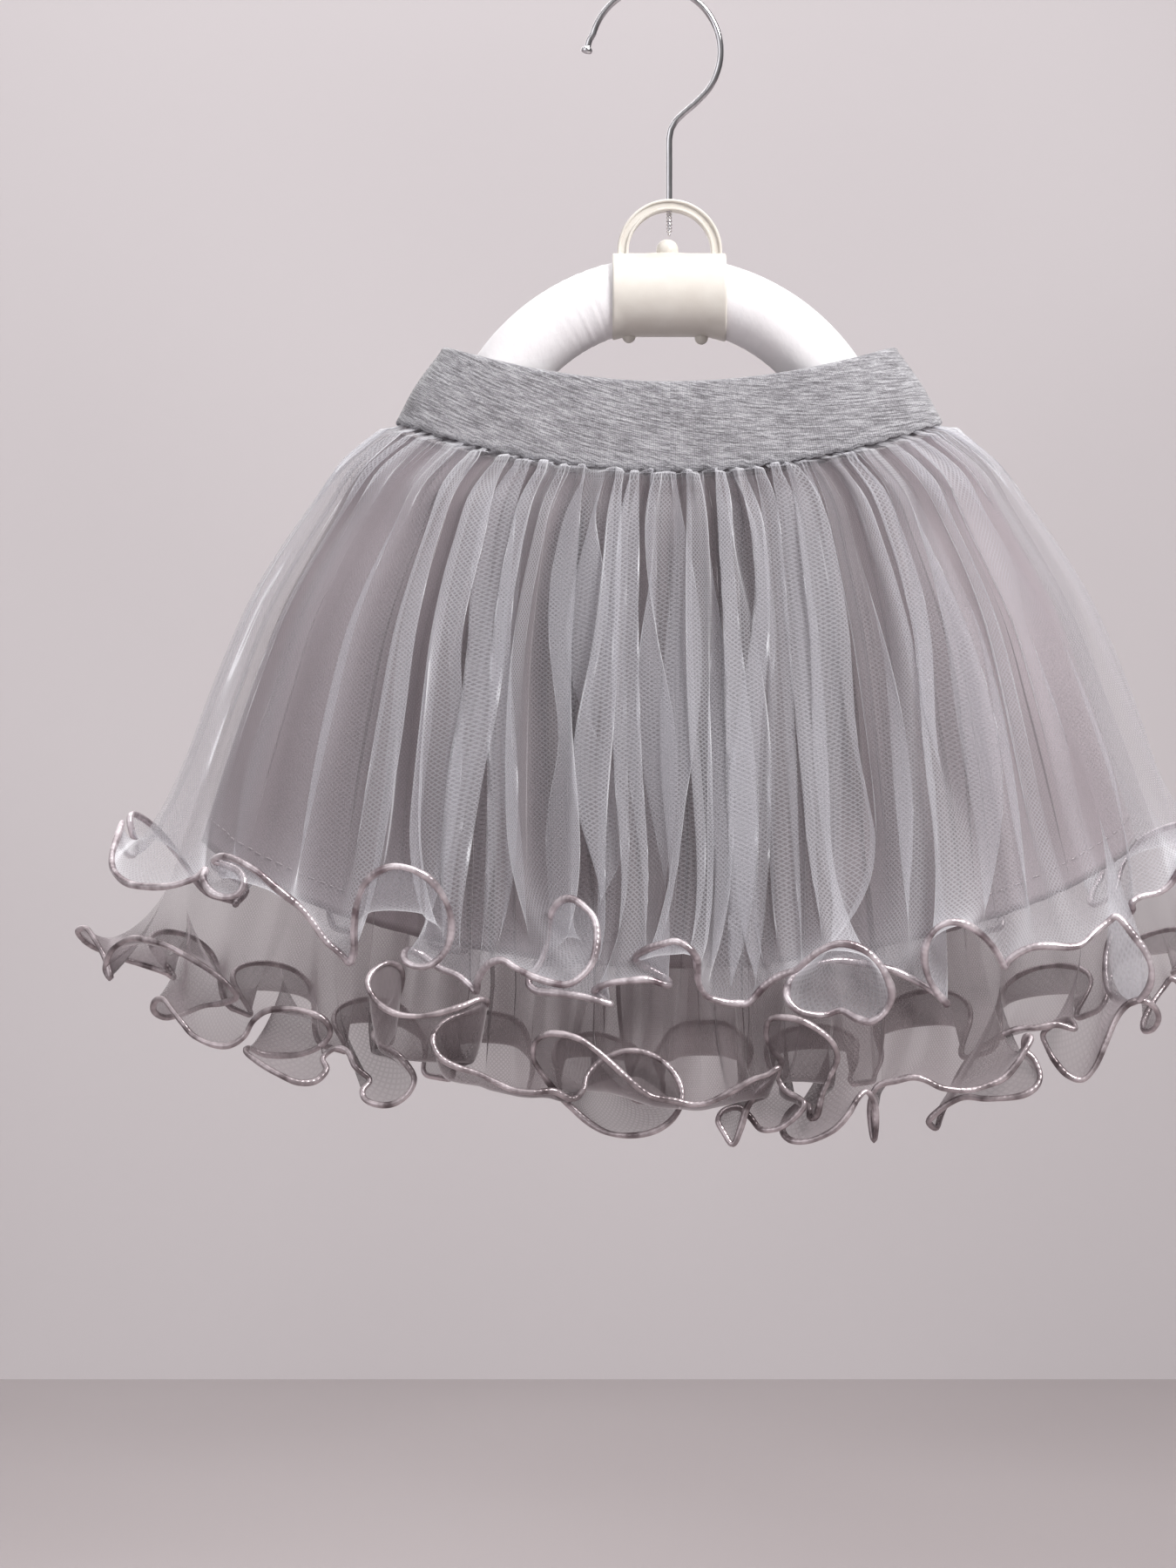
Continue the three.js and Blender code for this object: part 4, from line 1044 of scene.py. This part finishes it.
def binding_piece(layer, material):
    """The rolled satin binding along a net's hem."""
    edge = hem_curve(layer, hem_columns(layer, HEM_STEPS))
    side, other = carried_frames(edge, np.array([0, -1.0, 0]))
    lengths = np.concatenate([[0], np.cumsum(np.linalg.norm(np.roll(edge, -1, 0) - edge, axis=1))])
    at = lengths[:-1, None]
    angle = np.linspace(0, 2 * math.pi, ROLL_SIDES, endpoint=False)[None, :]
    uneven_roll = 0.1 * np.sin(at / 5.1 + 2 * np.sin(at / 23))
    twisted_roll = 0.06 * np.cos(2 * angle + at / 3.3)
    radius = ROLL_RADIUS[layer] * (1 + uneven_roll + twisted_roll)
    points = edge[:, None] + radius[..., None] * (
        side[:, None] * np.cos(angle)[..., None] + other[:, None] * np.sin(angle)[..., None]
    )
    v = np.linspace(0, 2 * math.pi * ROLL_RADIUS[layer], ROLL_SIDES + 1) * METRES
    return grid_object(layer + "_rolled_hem", points, lengths * METRES, v, material, True)


def lining_piece(material):
    """The lining with its hem turned up inside."""
    columns = 360
    cloth = np.arange(columns) / columns
    strips = strips_of(cloth)
    length = strips["lining"][:, None]
    below = length * np.linspace(0, 1, 60)[None, :] ** 1.1
    outside, level = layer_points("lining", strips, below)
    turned = length - np.array([0.4, 3, 6, 9, 11.5])[None, :]
    inside, level_in = layer_points("lining", strips, turned)
    inside = inside - level_in * np.array([0.5, 0.9, 0.9, 0.8, 0.7])[None, :, None]
    points = np.concatenate([outside, inside], 1)
    v = np.concatenate([below, 2 * length - turned], 1) * METRES
    u = np.arange(columns + 1) / columns * 0.76
    return grid_object("lining_cloth", points, u, v, material)


def stitch_piece(name, starts, ends, out, radius, material):
    """A row of short raised stitches, each a six-sided grain from its start to its end."""
    along = unit(ends - starts)
    across = np.cross(along, out)
    share = np.array([0, 0.15, 0.5, 0.85, 1])
    swell = np.array([0.15, 0.8, 1, 0.8, 0.15])
    angle = np.linspace(0, 2 * math.pi, 6, endpoint=False)
    middle = starts[:, None] + (ends - starts)[:, None] * share[None, :, None]
    ring = out[:, None, None] * np.cos(angle)[None, None, :, None]
    ring = ring + across[:, None, None] * np.sin(angle)[None, None, :, None]
    points = middle[:, :, None] + ring * (radius * swell)[None, :, None, None]
    count, rows, sides = points.shape[:3]
    n, i, k = np.meshgrid(np.arange(count), np.arange(rows - 1), np.arange(sides), indexing="ij")
    n, i, k = n.ravel(), i.ravel(), k.ravel()

    def at(row, corner):
        return (n * rows + row) * sides + corner % sides

    quads = np.stack([at(i, k), at(i, k + 1), at(i + 1, k + 1), at(i + 1, k)], -1)
    return mesh_object(name, points.reshape(-1, 3), quads, None, material)


def lining_stitches(material):
    """The row of stitches that holds the lining's hem."""
    count = 230
    cloth = np.arange(count) / count
    reach = 0.62 / count
    points = []
    for shift in (0, reach):
        strips = strips_of(cloth + shift)
        at, level = layer_points("lining", strips, strips["lining"][:, None] - 9.5)
        points.append(at[:, 0] + level[:, 0] * 0.25)
    return stitch_piece("lining_stitches", points[0], points[1], level[:, 0], 0.32, material)


def band_ring(width, depth, columns):
    x, y, _ = even_section(width, depth, BAND["squareness"])
    at = np.arange(columns) / columns * SECTION_STEPS
    steps = np.arange(SECTION_STEPS + 1)
    return np.interp(at, steps, x), np.interp(at, steps, y)


def waistband_piece(material):
    """The jersey strip folded over at the top: down the outside and back down the inside."""
    columns = 420
    half = BAND["wall"] / 2
    round_top = [(half * math.sin(a), half * math.cos(a)) for a in np.radians([90, 60, 30, 0])]
    rows = [(1 - j / 18, half, 0.0) for j in range(18)]
    rows += [(0.0, away, rise) for away, rise in round_top]
    rows += [(0.0, -away, rise) for away, rise in reversed(round_top[:-1])]
    rows += [(j / 10, -half, 0.0) for j in range(1, 11)]
    rows = [(1.0, -half + 0.5, -0.1), (1.0, 0.0, -0.35), (1.0, half - 0.5, -0.25)] + rows
    turn = 2 * math.pi * np.arange(columns) / columns
    bottom_wider = BAND["bottom_half_width"] - BAND["top_half_width"]
    points = []
    for down, away, rise in rows:
        belly = BAND["belly"] * math.sin(math.pi * down)
        width = BAND["top_half_width"] - half + bottom_wider * down
        x, y = band_ring(width + belly + away, BAND["half_depth"] - half + belly * 0.4 + away, columns)
        middle = 1 - np.minimum(1, np.abs(x) / (width + belly + away)) ** 2
        top = BAND["top_z"] - BAND["top_sag"] * middle - half
        bottom = BAND["bottom_z"] - BAND["bottom_sag"] * middle
        soft = 0.35 * np.sin(5 * turn + 3 * down) + 0.25 * np.sin(11 * turn - 4 * down + 1)
        soft = soft * math.sin(math.pi * min(1, down + 0.15))
        direction = unit(np.stack([x, y * 3, 0 * x], -1))
        ripple = 0.3 * np.sin(101 * turn + 2 * np.sin(7 * turn)) + 0.3 * np.sin(37 * turn + 1)
        ripple = ripple * max(0, down - 0.8) / 0.2
        ring = np.stack([STEM_X + x, y, top + (bottom - top) * down + rise + ripple], -1)
        points.append(ring + direction * soft[:, None])
    points = np.stack(points, 1)
    steps = np.linalg.norm(np.diff(points[0], axis=0), axis=1)
    v = np.concatenate([[0], np.cumsum(steps)]) * METRES
    u = np.arange(columns + 1) / columns * 0.5
    return grid_object("jersey_band", points, u, v, material)


def swept_rod(name, path, radii, sides, material):
    """A round rod along points in the X-Z plane, closed to a point at both ends."""
    path = np.array([(x, 0, z) for x, z in path], float)
    along = unit(np.gradient(path, axis=0))
    across = np.stack([along[:, 2], 0 * along[:, 0], -along[:, 0]], -1)
    angle = np.linspace(0, 2 * math.pi, sides, endpoint=False)
    deep = np.array([0, 1.0, 0])
    ring = across[:, None] * np.cos(angle)[None, :, None] + deep * np.sin(angle)[None, :, None]
    points = path[:, None] + ring * np.asarray(radii)[:, None, None]
    lengths = np.concatenate([[0], np.cumsum(np.linalg.norm(np.diff(path, axis=0), axis=1))]) * METRES
    u = np.linspace(0, 2 * math.pi, sides + 1) * METRES
    return grid_object(name, points.transpose(1, 0, 2), u, lengths, material)


def rounded_ends(lengths, radius, rounding):
    """Radii along a rod whose two ends are rounded over."""
    total = lengths[-1]
    near = np.minimum(lengths, total - lengths)
    t = np.clip(near / rounding, 0, 1)
    return np.maximum(radius - rounding + rounding * np.sqrt(1 - (1 - t) ** 2), 0.01)


def tube_piece(material):
    """The padded tube, with rounded ends and slack rings of skin on its left."""
    ends = np.array([0, 0.002, 0.008, 0.02, 0.05, 0.1, 0.2, 0.35, 0.6, 1])
    near = ends * 3.2
    span = math.radians(2 * ARCH["half_angle"]) * ARCH["radius"]
    middle = np.linspace(near[-1], span - near[-1], 220)[1:-1]
    lengths = np.concatenate([near, middle, span - near[::-1]])
    angle = np.radians(-ARCH["half_angle"]) + lengths / ARCH["radius"]
    path = ARCH["radius"] * np.stack([np.sin(angle), np.cos(angle)], -1) + [ARCH["x"], ARCH["z"]]
    radii = rounded_ends(lengths, ARCH["tube_radius"], 3)
    slack = np.exp(-(((lengths - 62) / 16) ** 2)) + 0.4 * np.exp(-(((lengths - 130) / 14) ** 2))
    radii = radii + slack * (0.05 * np.sin(lengths * 2.3) + 0.07 * np.sin(lengths * 1.37 + 1))
    radii[0] = radii[-1] = 0.01
    return swept_rod("padded_tube", path, radii, 48, material)


def hook_piece(material):
    """The wire hook: its button, its bowl and the screw thread at its foot."""
    bowl = [
        (HOOK["radius"] * math.cos(a), HOOK["z"] + HOOK["radius"] * math.sin(a))
        for a in np.radians(np.linspace(HOOK["end"], HOOK["start"], 90))
    ]
    knots = TIP_POINTS + bowl + STEM_POINTS
    knots = np.array(knots)
    chord = np.concatenate([[0], np.cumsum(np.linalg.norm(np.diff(knots, axis=0), axis=1))])
    fine = np.linspace(0, chord[-1], 420)
    smooth_x = np.interp(fine, chord, knots[:, 0])
    smooth_z = np.interp(fine, chord, knots[:, 1])
    for _ in range(6):
        smooth_x[1:-1] = (smooth_x[:-2] + 2 * smooth_x[1:-1] + smooth_x[2:]) / 4
        smooth_z[1:-1] = (smooth_z[:-2] + 2 * smooth_z[1:-1] + smooth_z[2:]) / 4
    screw = np.linspace(-92.05, -97.4, 60)
    path = list(zip(smooth_x, smooth_z)) + [(STEM_X, z) for z in screw]
    path = np.array(path)
    lengths = np.concatenate([[0], np.cumsum(np.linalg.norm(np.diff(path, axis=0), axis=1))])
    radii = np.full(len(path), WIRE_RADIUS)
    button = np.clip(lengths / BUTTON["length"], 0, 1)
    swell = BUTTON["radius"] * np.sqrt(np.clip(1 - np.abs(2 * button - 1) ** 3, 0.05, 1))
    radii = np.where(lengths < BUTTON["length"], np.maximum(swell, WIRE_RADIUS * (button > 0.5)), radii)
    threaded = (path[:, 1] < THREAD["top"]) & (np.abs(path[:, 0] - STEM_X) < 0.5)
    radii = radii - threaded * THREAD["depth"] * (1 + np.cos(2 * math.pi * path[:, 1] / THREAD["pitch"]))
    point = np.clip((path[:, 1] + 97.4) / 2.6, 0, 1)
    radii = np.where(threaded, radii * (0.15 + 0.85 * point), radii)
    radii[0] = radii[-1] = 0.01
    return swept_rod("wire_hook", path, radii, 20, material)


def sleeve_mesh():
    """The clamp's sleeve: a round outside, and an inside that follows the bent tube."""
    rounding = 0.8
    half = CLAMP["length"] / 2
    rounded = rounding * (1 - np.cos(np.linspace(0, math.pi / 2, 6)))
    x = np.concatenate([rounded - half, np.linspace(2 * rounding - half, 0, 14)])
    x = np.concatenate([x, -x[-2::-1]])
    angle = np.linspace(0, 2 * math.pi, 96, endpoint=False)
    sag = ARCH["radius"] - np.sqrt(ARCH["radius"] ** 2 - (x + STEM_X - ARCH["x"]) ** 2)
    centre = ARCH["z"] + ARCH["radius"] - sag
    off = centre - CLAMP["z"]
    bore = ARCH["tube_radius"] + SEAM_GAP
    up = np.sin(angle)[None, :]
    level = off[:, None] * np.cos(angle)[None, :]
    reach = np.sqrt(CLAMP["radius"] ** 2 - level**2) - off[:, None] * up
    outer = np.maximum(reach, bore + CLAMP["collar"])
    past = np.clip(rounding - (half - np.abs(x)), 0, rounding)
    trim = rounding - np.sqrt(rounding**2 - past**2)
    outer = outer - trim[:, None]
    rings = []
    for radius in (outer, np.full_like(outer, bore)):
        y = radius * np.cos(angle)[None, :]
        z = centre[:, None] + radius * up
        rings.append(np.stack([np.broadcast_to((x + STEM_X)[:, None], y.shape), y, z], -1))
    return np.concatenate([rings[0], rings[1][::-1]], 0)


def ring_section():
    """Corners of the half ring's section, as a radius and a depth: a web between two rims."""
    rim, web = RING["rim"] / 2, RING["web"] / 2
    outer, inner, wall = RING["outer"], RING["inner"], RING["rim_wall"]
    corners = [
        (outer - 0.4, rim),
        (outer, rim - 0.5),
        (outer, -rim + 0.5),
        (outer - 0.4, -rim),
        (outer - wall + 0.25, -rim),
        (outer - wall, -rim + 0.3),
        (outer - wall - 0.15, -web),
        (inner + wall + 0.15, -web),
        (inner + wall, -rim + 0.3),
        (inner + wall - 0.25, -rim),
        (inner + 0.4, -rim),
        (inner, -rim + 0.5),
        (inner, rim - 0.5),
        (inner + 0.4, rim),
        (inner + wall - 0.25, rim),
        (inner + wall, rim - 0.3),
        (inner + wall + 0.15, web),
        (outer - wall - 0.15, web),
        (outer - wall, rim - 0.3),
        (outer - wall + 0.25, rim),
    ]
    return np.array(corners)


def half_ring_mesh():
    section = ring_section()
    start = math.asin((RING["foot"] - RING["z"]) / RING["inner"])
    angle = np.linspace(start, math.pi - start, 72)
    x = RING["x"] + section[None, :, 0] * np.cos(angle)[:, None]
    z = RING["z"] + section[None, :, 0] * np.sin(angle)[:, None]
    return np.stack([x, np.broadcast_to(section[None, :, 1], x.shape), z], -1)


def turned_mesh(x, z, profile, down=False):
    """A small turned knob: its profile is rows of a radius and a height from its foot."""
    angle = np.linspace(0, 2 * math.pi, 24, endpoint=False)
    rows = np.array(profile, float)
    sign = -1 if down else 1
    px = x + rows[:, 0][:, None] * np.cos(angle)[None, :]
    py = rows[:, 0][:, None] * np.sin(angle)[None, :]
    pz = np.broadcast_to(z + sign * rows[:, 1][:, None], px.shape)
    return np.stack([px, py, pz], -1)


def joined_grids(name, grids, material):
    """Several grids as one mesh, each closed round its second way, and round its first if asked."""
    points, quads, start = [], [], 0
    for grid, closed in grids:
        rows, sides = grid.shape[:2]
        i, k = np.meshgrid(np.arange(rows if closed else rows - 1), np.arange(sides), indexing="ij")
        i, k = i.ravel(), k.ravel()
        i2, k2 = (i + 1) % rows, (k + 1) % sides
        corners = [i * sides + k, i2 * sides + k, i2 * sides + k2, i * sides + k2]
        quads.append(start + np.stack(corners, -1))
        points.append(grid.reshape(-1, 3))
        start += rows * sides
    return mesh_object(name, np.concatenate(points), np.concatenate(quads), None, material)


def clamp_piece(material):
    """Sleeve, half ring, ball and nubs of the moulded clamp."""
    swell = np.radians([-60, -45, -30, -15, 0, 15, 30, 45, 60, 75, 88])
    ball = [(BALL["radius"] * 0.62, -3.4)]
    ball += [(BALL["radius"] * math.cos(a), BALL["radius"] * math.sin(a)) for a in swell]
    ball += [(0.02, BALL["radius"])]
    grids = [
        (sleeve_mesh(), True),
        (half_ring_mesh(), False),
        (turned_mesh(BALL["x"], BALL["z"], ball), False),
    ]
    for nub in NUBS:
        r = nub["radius"]
        round_end = [(r * math.cos(a), r * math.sin(a)) for a in np.radians([10, 30, 50, 70, 88])]
        profile = [(r * 0.8, -1.6), (r * 0.97, -0.6)] + round_end + [(0.02, r)]
        grids.append((turned_mesh(nub["x"], nub["z"], profile, down=True), False))
    piece = joined_grids("clamp_moulding", grids, material)
    crease = piece.modifiers.new("crease", "EDGE_SPLIT")
    crease.split_angle = math.radians(38)
    return piece


def area_lamp(name, place, target, size, energy, colour):
    lamp = bpy.data.lights.new(name, "AREA")
    lamp.shape = "RECTANGLE"
    lamp.size, lamp.size_y = size
    lamp.energy = energy
    lamp.color = colour
    made = bpy.data.objects.new(name, lamp)
    made.location = place
    made.rotation_euler = (Vector(target) - Vector(place)).to_track_quat("-Z", "Y").to_euler()
    made.visible_camera = False
    SCENE.collection.objects.link(made)


def make_camera():
    camera = bpy.data.cameras.new("camera")
    camera.lens = CAMERA_LENS
    camera.sensor_fit = "VERTICAL"
    camera.sensor_height = SENSOR_HEIGHT
    made = bpy.data.objects.new("camera", camera)
    made.location = CAMERA_PLACE
    made.rotation_euler = (math.radians(90), 0, 0)
    SCENE.collection.objects.link(made)
    SCENE.camera = made


def make_stage():
    """A pale wall behind, a pale floor and soft light from the upper right."""
    pale = {}
    for name, dark, light in (
        ("wall", (0.56, 0.525, 0.538), (0.60, 0.565, 0.578)),
        ("floor", (0.40, 0.36, 0.365), (0.44, 0.40, 0.405)),
    ):
        shader = Shader("pale_" + name)
        cloud = shader.noise(shader.places(), 1.4, 1)
        colour = shader.ramp(cloud, (0.3, dark), (0.7, light))
        pale[name] = shader.finish(shader.principled(Base_Color=colour, Roughness=0.9))
    floor_z, wall_y, reach = -0.953, 2.6, 5.0
    for name, far_y, far_z in (("wall", wall_y, reach), ("floor", -reach, floor_z)):
        joint = [(-reach, wall_y, floor_z), (reach, wall_y, floor_z)]
        away = [(reach, far_y, far_z), (-reach, far_y, far_z)]
        corners = np.array(joint + away if name == "wall" else away[::-1] + joint[::-1]) / METRES
        mesh_object(name, corners, np.array([[0, 1, 2, 3]]), None, pale[name], False)
    target = (0.0, 0.0, -0.3)
    area_lamp("key", (1.0, -1.05, 0.95), target, (0.8, 0.8), 46, (1.0, 0.985, 0.98))
    area_lamp("fill", (-1.3, -1.4, 0.2), target, (1.6, 1.6), 7.5, (0.97, 0.97, 1.0))
    area_lamp("top", (0.1, -0.2, 1.3), target, (1.2, 0.8), 5, (1.0, 1.0, 1.0))
    area_lamp("back", (-0.7, 1.5, 0.5), target, (1.2, 1.2), 5, (1.0, 0.99, 0.99))
    area_lamp("wall_wash", (-0.3, 0.8, 1.7), (-0.3, 2.6, 0.1), (3.2, 1.0), 43, (1.0, 0.985, 0.985))
    world = bpy.data.worlds.new("studio")
    world.use_nodes = True
    nodes, links = world.node_tree.nodes, world.node_tree.links
    split = nodes.new("ShaderNodeSeparateXYZ")
    sky = nodes.new("ShaderNodeValToRGB")
    spread = nodes.new("ShaderNodeMapRange")
    spread.inputs["From Min"].default_value = -1
    links.new(nodes.new("ShaderNodeTexCoord").outputs["Generated"], split.inputs["Vector"])
    links.new(split.outputs["Z"], spread.inputs["Value"])
    links.new(spread.outputs["Result"], sky.inputs["Fac"])
    sky.color_ramp.elements[0].color = (0.30, 0.285, 0.29, 1)
    sky.color_ramp.elements[1].color = (1.0, 0.98, 0.985, 1)
    links.new(sky.outputs["Color"], nodes["Background"].inputs["Color"])
    paler_left = nodes.new("ShaderNodeMath")
    paler_left.operation = "MULTIPLY_ADD"
    paler_left.inputs[1].default_value = -0.3
    paler_left.inputs[2].default_value = 0.5
    links.new(split.outputs["X"], paler_left.inputs[0])
    links.new(paler_left.outputs[0], nodes["Background"].inputs["Strength"])
    SCENE.world = world
    SCENE.view_settings.view_transform = "Standard"
    SCENE.cycles.transparent_max_bounces = 40


def main():
    make_camera()
    make_stage()
    lining = lining_material()
    # The under binding is a shaded copy of the same satin: its darker colours are painted shade
    satins = {
        "outer": satin_material("pale_satin", (0.22, 0.172, 0.187), (0.76, 0.69, 0.72)),
        "under": satin_material("shaded_satin", (0.12, 0.092, 0.098), (0.54, 0.47, 0.49)),
    }
    pale_net = net_material("net_outer_cloth", 0.12, 0.2, (0.56, 0.55, 0.592), (0.90, 0.905, 0.945))
    # The under net's face colour is painted shade: very dark for the shadow inside the skirt
    shade_darkened_net = net_material("net_under_cloth", 0.27, 0.12, (0.145, 0.115, 0.122), (0.46, 0.41, 0.43))
    nets = {"outer": (1.35, pale_net), "under": (1.4, shade_darkened_net)}
    for layer, (flat_width, material) in nets.items():
        net = net_piece(layer, flat_width, material)
        binding = binding_piece(layer, satins[layer])
        for piece, node, slot in ((net, "net_" + layer, "net"), (binding, "binding_" + layer, "binding")):
            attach(piece, "root")
            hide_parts(node)
    lining_cloth = lining_piece(lining)
    stitches = lining_stitches(satins["outer"])
    band = waistband_piece(jersey_material())
    singles = [
        (lining_cloth, "lining", "lining"),
        (band, "waistband", "jersey"),
        (tube_piece(padding_material()), "hanger_tube", "padding"),
        (clamp_piece(plastic_material()), "hanger_clamp", "plastic"),
        (hook_piece(metal_material()), "hanger_hook", "metal"),
    ]
    for piece, node, slot in singles:
        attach(piece, "root")
        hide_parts(node)
    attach(stitches, "root")


main()
